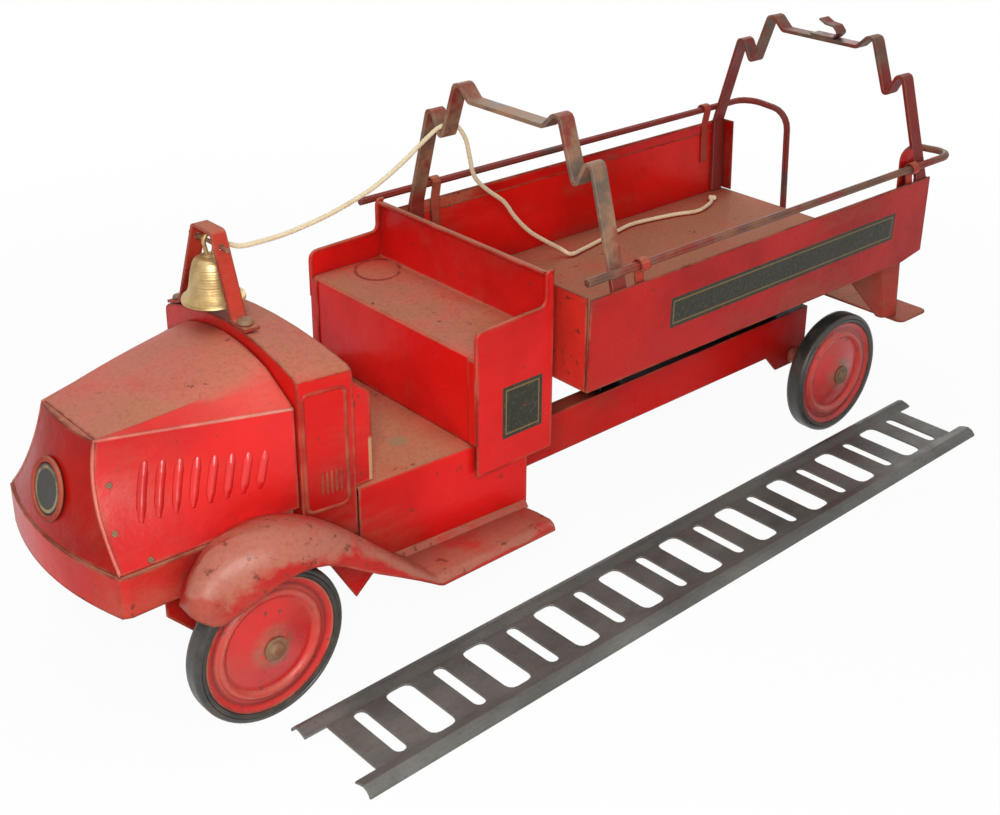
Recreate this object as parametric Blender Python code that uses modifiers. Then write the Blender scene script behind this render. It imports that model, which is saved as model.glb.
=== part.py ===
"""Pressed-steel toy fire ladder truck, with its ladder lying on the floor beside it.

Metres, +Z up, +X towards the nose, +Y towards the truck's left.
The truck is modelled about its own middle plane, under one empty that puts the origin at the
bottom centre of the whole object, ladder included.
"""
import math

import bmesh
import bpy
import numpy as np
from mathutils import Vector

# General
GAP = 0.0004
SHEET = 0.0012
THIN_SHEET = 0.0010
ROUND_STEPS = 40
SMALL_STEPS = 16

# Wheels, axles and chassis frame
WHEEL_R = 0.0440
DISC_R = 0.0380
DISC_T = 0.0013
TYRE_WIDTH = 0.0126
WHEEL_MID_Y = 0.0795
FRONT_AXLE_X = 0.2166
REAR_AXLE_X = -0.2578
AXLE_Z = WHEEL_R
AXLE_R = 0.0030
AXLE_HEAD_R = AXLE_R + 0.0012
AXLE_HEAD_T = 0.0019
BORE_R = AXLE_R + 0.0003
WASHER_R = AXLE_R + 0.0036
WASHER_T = 0.0012
FRAME_HALF_W = 0.0440
FRAME_TOP_Z = 0.0790
FRAME_BOTTOM_Z = 0.0500
FRAME_FRONT_X = FRONT_AXLE_X + 0.0354
FRAME_REAR_X = REAR_AXLE_X - 0.0142
EAR_BOTTOM_Z = AXLE_Z - 0.0070
EAR_HALF_LENGTH = 0.0180
EAR_SLOPE = 0.0120
FRAME_FLANGE = 0.0115
FRAME_BRIDGE_EDGE = 0.0050
HUB_IN = FRAME_HALF_W + GAP - WHEEL_MID_Y
HUB_OUT = 0.0082
HUB_R = BORE_R + 0.0025

# Hood, nose and cowl
COWL_FRONT_X = 0.1810
COWL_REAR_X = 0.1495
COWL_FRONT_HALF_W = 0.0650
COWL_REAR_HALF_W = 0.0695
COWL_SIDE_TOP_Z = 0.1742
COWL_BOTTOM_Z = 0.0760
COWL_FRONT_CROWN = 0.0118
COWL_REAR_CROWN = 0.0065
COWL_LIP_DROP = 0.0190
DASH_SETBACK = 0.0040
JAMB_DEPTH = 0.0115
HOOD_TOP_Z = 0.1588
HOOD_BOTTOM_Z = 0.1012
HOOD_REAR_X = COWL_FRONT_X + 2 * GAP
HOOD_REAR_HALF_W = COWL_FRONT_HALF_W - 0.0026
HOOD_CROWN = 0.0205
HOOD_CREASE = 0.63
HOOD_CREASE_FRONT = 0.97
HOOD_CREASE_RISE = 0.67
NOSE_TOP_X = 0.2727
NOSE_FOOT_X = 0.2813
NOSE_TOP_HALF_W = 0.0276
NOSE_FOOT_HALF_W = 0.0590
NOSE_TOP_BULGE = 0.0025
NOSE_FOOT_BULGE = 0.0098
NOSE_FLARE = 1.95
NOSE_BOW = 0.0017
CHIN_HALF_W = NOSE_FOOT_HALF_W + 0.0023
CHIN_TOP_Z = HOOD_BOTTOM_Z - 1.5 * GAP
CHIN_BOTTOM_Z = 0.0780
CHIN_REAR_X = COWL_FRONT_X + 0.0040
CHIN_FRONT_X = NOSE_FOOT_X + 0.0012
CROSS_MEMBER_LENGTH = 0.0180
MEDALLION_Z = 0.1256
MEDALLION_R = 0.0165
MEDALLION_RING_W = 0.0032

# Cab
CAB_FRONT_X = COWL_REAR_X - GAP
CAB_REAR_X = 0.0350
CAB_FRONT_HALF_W = COWL_REAR_HALF_W + 0.0005
CAB_REAR_HALF_W = 0.0770
CAB_FLOOR_Z = 0.1030
CAB_BOTTOM_Z = 0.0525
CAB_BOLSTER_LENGTH = 0.0400
SEAT_FRONT_X = 0.0745
SEAT_REAR_X = 0.0179
SEAT_HALF_W = CAB_REAR_HALF_W + 0.0023
SEAT_TOP_Z = 0.1580
SEAT_BOTTOM_Z = 0.0844
SEAT_BACK_Z = 0.1943
ARM_STILE = 0.0052
BOARD_Z = 0.0520
BOARD_LIP = 0.0050
BOARD_REAR_X = CAB_REAR_X + 0.0030
FENDER_OUTER_Y = 0.1050

# Bed
BED_FRONT_X = 0.0048
BED_REAR_X = -0.3301
BED_BOTTOM_Z = 0.1200
BED_TOP_Z = 0.1791
BED_BOTTOM_HALF_W = 0.0944
BED_TOP_HALF_W = 0.0962
BED_FLOOR_TOP_Z = BED_BOTTOM_Z + SHEET + GAP
STEP_FRONT_X = -0.3370
STEP_REAR_X = -0.3710
STEP_HALF_W = 0.0830
STEP_TOP_Z = 0.0600
STEP_T = 0.0014
STEP_CORNER_R = 0.0050
HANGER_FOOT_RIDGE = (STEP_FRONT_X + 0.0060, 0.0692)
HANGER_FOOT_REACH = 0.0045
HANGER_FOOT_TAIL = (0.0110, 0.0045)
HANGER_TOP_RIDGE = (STEP_FRONT_X + 0.0317, 0.0780)
HANGER_TOP_REACH = 0.0560
HANGER_TOP_TAIL = (0.0220, 0.0030)
HANGER_BEND_R = 0.0045
BOLSTER_X = {"front": -0.0700, "rear": -0.2300}
BOLSTER_LENGTH = 0.0200

# Ladder racks and handrails
FRONT_RACK_X = -0.0194
REAR_RACK_X = -0.3218
RACK_WIDTH = 0.0110
RACK_T = 0.0026
RACK_BEND_R = 0.0035
RACK_HUMP_Y = 0.0712
RACK_HUMP_Z = 0.2482
RACK_NOTCH_Y = 0.0605
RACK_NOTCH_Z = 0.2345
RACK_SHOULDER_Y = 0.0440
RACK_SHOULDER_Z = 0.2705
RACK_BAR_HALF_W = 0.0330
RACK_BAR_Z = 0.2622
HOOK_WIDTH = RACK_WIDTH - 0.0005
HOOK_T = 0.0012
RAIL_Y = 0.0955
RAIL_Z = 0.1900
RAIL_R = 0.0026
RAIL_REAR_X = -0.3590
RAIL_FOOT_X = -0.3650
RAIL_DROP_Y = 0.0540
RAIL_BEND_R = 0.0150
RAIL_FRONT_X = {"left": 0.0080, "right": 0.0240}
CLIP_X = {"front": -0.0360, "rear": -0.3070}
CLIP_WIDTH = 0.0070
CLIP_FOOT_Z = 0.1480

# Bell
BELL_X = COWL_FRONT_X - 0.0040
BELL_Y = -0.0176
PIN_Z = COWL_SIDE_TOP_Z + COWL_FRONT_CROWN + 0.0388
PIN_R = 0.0012
PIN_LENGTH = 0.0380
BELL_DROP = 0.0086
BELL_HEIGHT = 0.0250
BELL_RIM_R = 0.0172
BELL_WALL = 0.0016
EYELET_R = PIN_R + 0.0019
EYELET_WIRE_R = 0.0010
CLAPPER_R = 0.0034
CLAPPER_PIN_R = 0.0008
BRACKET_TOP_Z = PIN_Z + 0.0077
BRACKET_WIDTH = 0.0090
BRACKET_T = 0.0016
BRACKET_TOP_Y = (BELL_Y - 0.0094, BELL_Y + 0.0092)
BRACKET_FOOT_Y = (BELL_Y - 0.0304, BELL_Y + 0.0246)
FOOT_LENGTH = 0.0130
BOLT_R = 0.0042
BOLT_ALONG = 0.50

# Rope, from the bell's eyelet over the front rack's far notch and along the bed floor
ROPE_R = 0.0015
ROPE_STEP = 0.0080
ROPE_ROUTE = [
    (0.1662, -0.0185, 0.2205), (0.1568, -0.0205, 0.2160), (0.1411, -0.0240, 0.2138),
    (0.1191, -0.0300, 0.2119), (0.0863, -0.0380, 0.2126), (0.0516, -0.0460, 0.2173),
    (0.0243, -0.0520, 0.2257), (0.0020, -0.0575, 0.2345), (-0.0120, -0.0606, 0.2396),
    (-0.0194, -0.0608, 0.2404), (-0.0268, -0.0608, 0.2394), (-0.0345, -0.0604, 0.2290),
    (-0.0376, -0.0600, 0.2166), (-0.0403, -0.0600, 0.2052), (-0.0452, -0.0605, 0.1975),
    (-0.0550, -0.0610, 0.1886), (-0.0691, -0.0620, 0.1775), (-0.0800, -0.0630, 0.1639),
    (-0.0939, -0.0640, 0.1501), (-0.1087, -0.0650, 0.1395), (-0.1250, -0.0660, 0.1290),
    (-0.1317, -0.0610, 0.1243), (-0.1466, -0.0636, 0.1236), (-0.1655, -0.0674, 0.1236),
    (-0.1923, -0.0735, 0.1236), (-0.2131, -0.0760, 0.1236), (-0.2478, -0.0700, 0.1236),
    (-0.2687, -0.0636, 0.1236), (-0.2885, -0.0686, 0.1236), (-0.2964, -0.0735, 0.1236),
]
FRONT_KNOT_OFFSET = (-0.0062, 0.0, -0.0030)
FRONT_KNOT_R = 0.0024
REAR_KNOT_R = 0.0034

# Ladder
LADDER_CENTRE = (-0.0538, 0.1303)
LADDER_YAW = math.radians(0.65)
LADDER_LENGTH = 0.5426
LADDER_HALF_W = 0.0339
LADDER_WEB_Z = 0.0024
LADDER_RAIL_RISE = 0.0020
LADDER_RAIL_W = 0.0118
RUNG_COUNT = 10
RUNG_PITCH = 0.0533
RUNG_STRIP = 0.0142
SLOT_WIDTH = 0.0076
SLOT_HALF_LENGTH = 0.0197
HOLE_HALF_LENGTH = 0.0212
HOLE_CORNER_R = 0.0050

RED = (0.62, 0.035, 0.03, 1.0)
WORN_STEEL = (0.16, 0.12, 0.10, 1.0)
LADDER_GREY = (0.13, 0.12, 0.11, 1.0)
BRASS = (0.55, 0.43, 0.20, 1.0)
BLACK = (0.02, 0.02, 0.02, 1.0)
RUBBER = (0.03, 0.03, 0.03, 1.0)
CREAM = (0.75, 0.66, 0.48, 1.0)

NOSE_X = CHIN_FRONT_X + NOSE_FOOT_BULGE
LADDER_OUTER_Y = LADDER_CENTRE[1] + LADDER_HALF_W + LADDER_LENGTH / 2 * math.sin(LADDER_YAW)
ORIGIN_SHIFT = (
    -(NOSE_X + STEP_REAR_X) / 2,
    -(LADDER_OUTER_Y - FENDER_OUTER_Y) / 2,
    0.0,
)

SIDES = {"left": 1, "right": -1}


def start_scene():
    """Empty the scene and make the two collections and the truck's own origin."""
    for old in list(bpy.data.objects):
        bpy.data.objects.remove(old, do_unlink=True)
    collections = []
    for name in ("ladder_truck", "cutters"):
        collection = bpy.data.collections.new(name)
        bpy.context.scene.collection.children.link(collection)
        collections.append(collection)
    origin = bpy.data.objects.new("truck_origin", None)
    origin.location = ORIGIN_SHIFT
    collections[0].objects.link(origin)
    return collections[0], collections[1], origin


PARTS, CUTTERS, TRUCK = start_scene()


def material(name, colour, roughness, metallic):
    """One Principled material."""
    made = bpy.data.materials.new(name)
    made.use_nodes = True
    shader = made.node_tree.nodes["Principled BSDF"]
    shader.inputs["Base Color"].default_value = colour
    shader.inputs["Roughness"].default_value = roughness
    shader.inputs["Metallic"].default_value = metallic
    return made


PAINT = material("red_paint", RED, 0.45, 0.0)
STEEL = material("worn_steel", WORN_STEEL, 0.6, 0.6)
LADDER_STEEL = material("ladder_steel", LADDER_GREY, 0.55, 0.6)
BELL_BRASS = material("brass", BRASS, 0.35, 1.0)
BLACK_PAINT = material("black_paint", BLACK, 0.6, 0.0)
TYRE_RUBBER = material("tyre_rubber", RUBBER, 0.7, 0.0)
ROPE_COTTON = material("rope_cotton", CREAM, 0.9, 0.0)


def place(name, data, surface, location=(0, 0, 0), rotation=(0, 0, 0), parent=TRUCK):
    """Add an object for the data to the parts collection."""
    made = bpy.data.objects.new(name, data)
    made.location = location
    made.rotation_euler = rotation
    made.parent = parent
    data.materials.append(surface)
    PARTS.objects.link(made)
    return made


def smooth(mesh, angle=35):
    """Shade a mesh smooth, with edges sharper than the angle kept sharp."""
    mesh.shade_smooth()
    mesh.set_sharp_from_angle(angle=math.radians(angle))
    return mesh


def move_to_cutters(tool):
    """Keep an object as a hidden cutter."""
    for owner in list(tool.users_collection):
        owner.objects.unlink(tool)
    CUTTERS.objects.link(tool)
    tool.hide_render = True
    tool.display_type = "WIRE"
    return tool


def boolean(target, tool, operation="DIFFERENCE"):
    """Cut the target with a hidden tool, or join the tool to it."""
    move_to_cutters(tool)
    change = target.modifiers.new(operation.lower(), "BOOLEAN")
    change.operation = operation
    change.solver = "EXACT"
    change.object = tool
    return target


def box(name, low, high, surface):
    """A box between two corners."""
    low, high = Vector(low), Vector(high)
    mesh = bpy.data.meshes.new(name)
    cage = bmesh.new()
    bmesh.ops.create_cube(cage, size=1.0)
    bmesh.ops.scale(cage, vec=high - low, verts=cage.verts)
    cage.to_mesh(mesh)
    cage.free()
    return place(name, mesh, surface, (low + high) / 2)


def channel(name, low, high, surface):
    """A folded channel across the truck, open below and at both ends."""
    low, high = Vector(low), Vector(high)
    made = box(name, low, high, surface)
    inside_low = low + Vector((SHEET, -SHEET, -SHEET))
    inside_high = high + Vector((-SHEET, SHEET, -SHEET))
    return boolean(made, box(f"{name}_hollow", inside_low, inside_high, surface))


def cylinder(name, radius, length, centre, surface, steps=SMALL_STEPS, parent=TRUCK):
    """A cylinder across the truck, centred on a point."""
    mesh = bpy.data.meshes.new(name)
    cage = bmesh.new()
    bmesh.ops.create_cone(cage, cap_ends=True, segments=steps, radius1=radius, radius2=radius,
                          depth=length)
    cage.to_mesh(mesh)
    cage.free()
    return place(name, smooth(mesh), surface, centre, (-math.pi / 2, 0, 0), parent)


def turned(name, profile, surface, location, rotation, steps=ROUND_STEPS, closed=True, parent=TRUCK):
    """A profile of (radius, height) points turned about local Z. The outer side runs downwards."""
    mesh = bpy.data.meshes.new(name)
    count = len(profile)
    edges = [(i, i + 1) for i in range(count - 1)]
    if closed:
        edges.append((count - 1, 0))
    mesh.from_pydata([(r, 0, h) for r, h in profile], edges, [])
    made = place(name, mesh, surface, location, rotation, parent)
    screw = made.modifiers.new("turn", "SCREW")
    screw.axis = "Z"
    screw.steps = steps
    screw.render_steps = steps
    screw.use_merge_vertices = True
    screw.merge_threshold = 0.00001
    return made


def rounded_path(points, radius, steps=3):
    """A polyline with each inner corner replaced by an arc of the given radius."""
    points = [np.array(p, float) for p in points]
    path = [points[0]]
    for before, corner, after in zip(points, points[1:], points[2:]):
        back = (before - corner) / np.linalg.norm(before - corner)
        ahead = (after - corner) / np.linalg.norm(after - corner)
        half = math.acos(float(np.clip(back @ ahead, -1, 1))) / 2
        reach = radius / math.tan(half)
        reach = min(reach, 0.48 * np.linalg.norm(before - corner), 0.48 * np.linalg.norm(after - corner))
        bow = reach * math.tan(half)
        middle = (back + ahead) / np.linalg.norm(back + ahead)
        centre = corner + middle * math.hypot(reach, bow)
        first = corner + back * reach - centre
        last = corner + ahead * reach - centre
        sweep = math.pi - 2 * half
        for i in range(steps + 1):
            part = i / steps
            mix = (math.sin((1 - part) * sweep) * first + math.sin(part * sweep) * last) / math.sin(sweep)
            path.append(centre + mix)
    path.append(points[-1])
    return path


def sheet(name, rows, thickness, surface, parent=TRUCK):
    """A sheet-metal skin through rows of points, given its thickness evenly about that skin."""
    rows = [[tuple(p) for p in row] for row in rows]
    width = len(rows[0])
    points = [p for row in rows for p in row]
    faces = []
    for i in range(len(rows) - 1):
        for j in range(width - 1):
            k = i * width + j
            faces.append((k, k + 1, k + width + 1, k + width))
    mesh = bpy.data.meshes.new(name)
    mesh.from_pydata(points, [], faces)
    made = place(name, smooth(mesh), surface, parent=parent)
    skin = made.modifiers.new("thickness", "SOLIDIFY")
    skin.thickness = thickness
    skin.offset = 0
    skin.use_even_offset = True
    return made


def strap(name, path, middle, width, thickness, surface):
    """A flat strap, bent along a path of (y, z) points and as wide along X as given."""
    rows = [[(middle - width / 2, y, z), (middle + width / 2, y, z)] for y, z in path]
    return sheet(name, rows, thickness, surface)


def rod(name, points, radius, surface, resolution=2, parent=TRUCK):
    """A round rod through points."""
    curve = bpy.data.curves.new(name, "CURVE")
    curve.dimensions = "3D"
    curve.bevel_depth = radius
    curve.bevel_resolution = resolution
    curve.use_fill_caps = True
    spline = curve.splines.new("POLY")
    spline.points.add(len(points) - 1)
    for spot, p in zip(spline.points, points):
        spot.co = (*p, 1)
    return place(name, curve, surface, parent=parent)


def plate(name, outline, thickness, surface, location=(0, 0, 0), rotation=(math.pi / 2, 0, 0)):
    """A flat plate from an outline of (x, z) points, thick about the plane it stands in."""
    curve = bpy.data.curves.new(name, "CURVE")
    curve.dimensions = "2D"
    curve.fill_mode = "BOTH"
    curve.extrude = thickness / 2
    spline = curve.splines.new("POLY")
    spline.points.add(len(outline) - 1)
    for spot, (u, v) in zip(spline.points, outline):
        spot.co = (u, v, 0, 1)
    spline.use_cyclic_u = True
    return place(name, curve, surface, location, rotation)


def as_mesh(drawn):
    """Replace a curve object by the closed mesh that it draws."""
    bpy.context.view_layer.update()
    seen = drawn.evaluated_get(bpy.context.evaluated_depsgraph_get())
    mesh = bpy.data.meshes.new_from_object(seen)
    cage = bmesh.new()
    cage.from_mesh(mesh)
    bmesh.ops.remove_doubles(cage, verts=cage.verts, dist=0.000005)
    bmesh.ops.recalc_face_normals(cage, faces=cage.faces)
    cage.to_mesh(mesh)
    cage.free()
    name, parent = drawn.name, drawn.parent
    location, rotation = drawn.location.copy(), drawn.rotation_euler.copy()
    bpy.data.objects.remove(drawn, do_unlink=True)
    made = bpy.data.objects.new(name, mesh)
    made.location, made.rotation_euler, made.parent = location, rotation, parent
    PARTS.objects.link(made)
    return made


def join(name, pieces):
    """Gather the separate solids of one cutter into one object."""
    bpy.context.view_layer.update()
    graph = bpy.context.evaluated_depsgraph_get()
    cage = bmesh.new()
    surface = pieces[0].data.materials[0]
    for piece in pieces:
        seen = piece.evaluated_get(graph)
        mesh = bpy.data.meshes.new_from_object(seen)
        mesh.transform(TRUCK.matrix_world.inverted() @ piece.matrix_world)
        cage.from_mesh(mesh)
        bpy.data.meshes.remove(mesh)
    bmesh.ops.remove_doubles(cage, verts=cage.verts, dist=0.000005)
    bmesh.ops.recalc_face_normals(cage, faces=cage.faces)
    mesh = bpy.data.meshes.new(name)
    cage.to_mesh(mesh)
    cage.free()
    mesh.materials.clear()
    for piece in pieces:
        bpy.data.objects.remove(piece, do_unlink=True)
    return place(name, smooth(mesh), surface)


def curve_value(x, knots):
    """A smooth curve of value over x through a few (x, value) knots, x falling, level past the ends."""
    xs = [k[0] for k in knots]
    values = [k[1] for k in knots]
    xs, values = xs[::-1], values[::-1]
    slopes = np.gradient(values, xs)
    i = int(np.clip(np.searchsorted(xs, x) - 1, 0, len(xs) - 2))
    step = xs[i + 1] - xs[i]
    t = float(np.clip((x - xs[i]) / step, 0, 1))
    rise = 3 * t * t - 2 * t ** 3
    lead = (t ** 3 - 2 * t * t + t) * step * slopes[i] + (t ** 3 - t * t) * step * slopes[i + 1]
    return values[i] * (1 - rise) + values[i + 1] * rise + lead


def smooth_route(points, step):
    """Points at an even step along a smooth curve through the route's own points."""
    points = np.array(points)
    padded = np.vstack([2 * points[0] - points[1], points, 2 * points[-1] - points[-2]])
    fine = []
    for a, b, c, d in zip(padded, padded[1:], padded[2:], padded[3:]):
        for t in np.linspace(0, 1, 24, endpoint=False):
            fine.append(0.5 * (2 * b + (c - a) * t + (2 * a - 5 * b + 4 * c - d) * t ** 2
                               + (3 * b - a - 3 * c + d) * t ** 3))
    fine.append(points[-1])
    fine = np.array(fine)
    along = np.concatenate([[0], np.cumsum(np.linalg.norm(np.diff(fine, axis=0), axis=1))])
    count = int(round(along[-1] / step))
    spots = np.linspace(0, along[-1], count + 1)
    return [tuple(np.interp(s, along, fine[:, k]) for k in range(3)) for s in spots]


# Chassis, axles and wheels
def chassis_frame():
    """Inverted channel with an ear at each axle, its top open between the bolsters."""
    ear, slope = EAR_HALF_LENGTH, EAR_SLOPE
    outline = [
        (FRAME_REAR_X, FRAME_TOP_Z), (FRAME_REAR_X, EAR_BOTTOM_Z),
        (REAR_AXLE_X + ear, EAR_BOTTOM_Z), (REAR_AXLE_X + ear + slope, FRAME_BOTTOM_Z),
        (FRONT_AXLE_X - ear - slope, FRAME_BOTTOM_Z), (FRONT_AXLE_X - ear, EAR_BOTTOM_Z),
        (FRONT_AXLE_X + ear, EAR_BOTTOM_Z), (FRAME_FRONT_X, FRAME_BOTTOM_Z + slope / 2),
        (FRAME_FRONT_X, FRAME_TOP_Z),
    ]
    frame = as_mesh(plate("chassis_frame", outline, 2 * FRAME_HALF_W, PAINT))
    inner_y = FRAME_HALF_W - SHEET
    hollow = box("frame_hollow", (FRAME_REAR_X - SHEET, -inner_y, 0.0),
                 (FRAME_FRONT_X + SHEET, inner_y, FRAME_TOP_Z - SHEET), PAINT)
    boolean(frame, hollow)
    flange_y = FRAME_HALF_W - FRAME_FLANGE
    spans = [(BOLSTER_X["rear"], BOLSTER_LENGTH, BOLSTER_X["front"], BOLSTER_LENGTH),
             (BOLSTER_X["front"], BOLSTER_LENGTH, cab_bolster_x(), CAB_BOLSTER_LENGTH)]
    for number, (back, back_length, ahead, ahead_length) in enumerate(spans):
        window = box(f"frame_window_{number}",
                     (back + back_length / 2 + FRAME_BRIDGE_EDGE, -flange_y, FRAME_TOP_Z - 2 * SHEET),
                     (ahead - ahead_length / 2 - FRAME_BRIDGE_EDGE, flange_y, FRAME_TOP_Z + SHEET), PAINT)
        boolean(frame, window)
    for label, x in (("front", FRONT_AXLE_X), ("rear", REAR_AXLE_X)):
        hole = cylinder(f"{label}_axle_hole", BORE_R, 3 * FRAME_HALF_W, (x, 0, AXLE_Z), PAINT)
        boolean(frame, hole)


def axle(label, x):
    """Axle rod with a washer and a riveted-over head at each end."""
    washer_in = WHEEL_MID_Y + HUB_OUT + GAP
    washer_out = washer_in + WASHER_T
    end, head_r = washer_out + AXLE_HEAD_T, AXLE_HEAD_R
    half = [(0, end), (head_r * 0.7, end), (head_r, end - AXLE_HEAD_T / 2), (head_r, washer_out),
            (WASHER_R, washer_out), (WASHER_R, washer_in), (AXLE_R, washer_in)]
    profile = half + [(r, -h) for r, h in reversed(half)]
    turned(f"{label}_axle", profile, STEEL, (x, 0, AXLE_Z), (-math.pi / 2, 0, 0), SMALL_STEPS, closed=False)


def wheel(label, side, x):
    """Dished disc with a rim and a long inner hub, and the tyre on it. Heights run outwards."""
    sign = SIDES[side]
    t, r = DISC_T, DISC_R
    lip = TYRE_WIDTH * 0.43
    face = [(HUB_R + 0.0017, HUB_OUT), (HUB_R + 0.0047, HUB_OUT - 0.0010), (r - 0.0121, 0.0032),
            (r - 0.0101, 0.0050), (r - 0.0076, 0.0048), (r - 0.0060, 0.0034), (r - 0.0016, lip - 0.0008),
            (r, lip)]
    back = [(radius, height - t) for radius, height in reversed(face[1:-2])]
    profile = (face + [(r, -lip), (r - t, -lip), (r - t, lip - 2 * t)] + back
               + [(HUB_R, HUB_OUT - 0.0024), (HUB_R, HUB_IN), (BORE_R, HUB_IN), (BORE_R, HUB_OUT)])
    spot = (x, sign * WHEEL_MID_Y, AXLE_Z)
    turn = (-sign * math.pi / 2, 0, 0)
    turned(f"wheel_disc_{label}_{side}", profile, PAINT, spot, turn)
    half = TYRE_WIDTH / 2
    tyre_in = DISC_R + GAP
    deep = WHEEL_R - tyre_in
    tread = [(tyre_in, half * 0.9), (WHEEL_R - deep * 0.4, half), (WHEEL_R - deep * 0.1, half * 0.8),
             (WHEEL_R, half * 0.4)]
    ring = tread + [(radius, -height) for radius, height in reversed(tread)]
    turned(f"tyre_{label}_{side}", ring, TYRE_RUBBER, spot, turn)


# Front end
def nose_edge(z):
    """Where the nose's side edge stands at a height: x, and its half-width."""
    s = (HOOD_TOP_Z - z) / (HOOD_TOP_Z - HOOD_BOTTOM_Z)
    flare = max(s, 0.0) ** NOSE_FLARE
    x = NOSE_TOP_X + (NOSE_FOOT_X - NOSE_TOP_X) * s + NOSE_BOW * math.sin(math.pi * s)
    return x, NOSE_TOP_HALF_W + (NOSE_FOOT_HALF_W - NOSE_TOP_HALF_W) * flare


def hood_section(along):
    """Half of the hood's section, from its foot to the middle of the top; 0 is rear, 1 is front."""
    points = []
    for z in np.linspace(HOOD_BOTTOM_Z, HOOD_TOP_Z, 10):
        front_x, front_w = nose_edge(z)
        x = HOOD_REAR_X + (front_x - THIN_SHEET / 2 - GAP - HOOD_REAR_X) * along
        points.append((x, HOOD_REAR_HALF_W + (front_w - HOOD_REAR_HALF_W) * along, z))
    edge_x, edge_w, _ = points[-1]
    crown = HOOD_CROWN * (1 - along)
    crease = HOOD_CREASE + (HOOD_CREASE_FRONT - HOOD_CREASE) * along
    for up in (0.33, 0.66):
        points.append((edge_x, edge_w * (1 - (1 - crease) * up), HOOD_TOP_Z + crown * HOOD_CREASE_RISE * up))
    for part in (1.0, 0.75, 0.5, 0.25, 0.0):
        rise = HOOD_CREASE_RISE + (1 - HOOD_CREASE_RISE) * (1 - part * part)
        points.append((edge_x, edge_w * crease * part, HOOD_TOP_Z + crown * rise))
    return points


def mirrored(half):
    """A full section from the half at +Y."""
    return half + [(x, -y, z) for x, y, z in reversed(half[:-1])]


def hood():
    """Hood shell from the cowl to the nose."""
    rows = [mirrored(hood_section(along)) for along in np.linspace(0, 1, 9)]
    sheet("hood_shell", rows, THIN_SHEET, PAINT)


def nose_face(part, z):
    """A point of the radiator front; part runs from -1 to 1 across it."""
    x, half_w = nose_edge(z)
    s = (HOOD_TOP_Z - z) / (HOOD_TOP_Z - HOOD_BOTTOM_Z)
    bulge = NOSE_TOP_BULGE + (NOSE_FOOT_BULGE - NOSE_TOP_BULGE) * s
    return (x + bulge * (1 - part * part), half_w * part, z)


def radiator_front():
    """Leaning front sheet with the raised medallion ring and its disc."""
    heights = np.linspace(HOOD_BOTTOM_Z, HOOD_TOP_Z, 10)
    rows = [[nose_face(part, z) for part in np.linspace(-1, 1, 11)] for z in heights]
    sheet("radiator_front", rows, THIN_SHEET, PAINT)
    top, foot = nose_face(0, MEDALLION_Z + MEDALLION_R), nose_face(0, MEDALLION_Z - MEDALLION_R)
    lean = math.atan2(foot[0] - top[0], top[2] - foot[2])
    turn = (0, math.pi / 2 - lean, 0)
    stand_off = THIN_SHEET / 2 + GAP
    middle = nose_face(0, MEDALLION_Z)
    spot = (middle[0] + stand_off * math.cos(lean), 0, MEDALLION_Z + stand_off * math.sin(lean))
    inner_r = MEDALLION_R - MEDALLION_RING_W
    proud = MEDALLION_RING_W * 0.48
    turned("medallion_ring", [
        (MEDALLION_R - proud / 2, proud), (MEDALLION_R, proud / 3), (MEDALLION_R, 0.0), (inner_r, 0.0),
        (inner_r, proud / 2), (inner_r + proud / 2, proud)], PAINT, spot, turn)
    disc_r, disc_t = inner_r - GAP, proud / 2
    turned("medallion_disc", [(0, disc_t), (disc_r, disc_t), (disc_r, 0.0), (0, 0.0)],
           BLACK_PAINT, spot, turn, SMALL_STEPS, closed=False)


def chin_skirt():
    """Upright band round the nose and along both sides."""
    corner_x = CHIN_FRONT_X - 0.0040
    plan = [(CHIN_REAR_X, CHIN_HALF_W), (corner_x, CHIN_HALF_W)]
    for part in np.linspace(0.97, -0.97, 15):
        plan.append((CHIN_FRONT_X + NOSE_FOOT_BULGE * (1 - part * part) - SHEET / 2, CHIN_HALF_W * part))
    plan += [(corner_x, -CHIN_HALF_W), (CHIN_REAR_X, -CHIN_HALF_W)]
    rows = [[(x, y, z) for x, y in plan] for z in (CHIN_BOTTOM_Z, CHIN_TOP_Z)]
    sheet("chin_skirt", rows, SHEET, PAINT)


def cowl_outline(x, half_w, crown, lift=0.0, shrink=1.0, foot=COWL_BOTTOM_Z):
    """Half of a cowl section: up the side, over a round shoulder and up the crown."""
    top = COWL_SIDE_TOP_Z + lift
    half_w = half_w * shrink
    points = [(x, half_w, foot), (x, half_w, top - 0.004), (x, half_w * 0.99, top - 0.001)]
    for part in (0.95, 0.8, 0.6, 0.3, 0.0):
        points.append((x, half_w * part, top + crown * (1 - part * part)))
    return points


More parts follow.
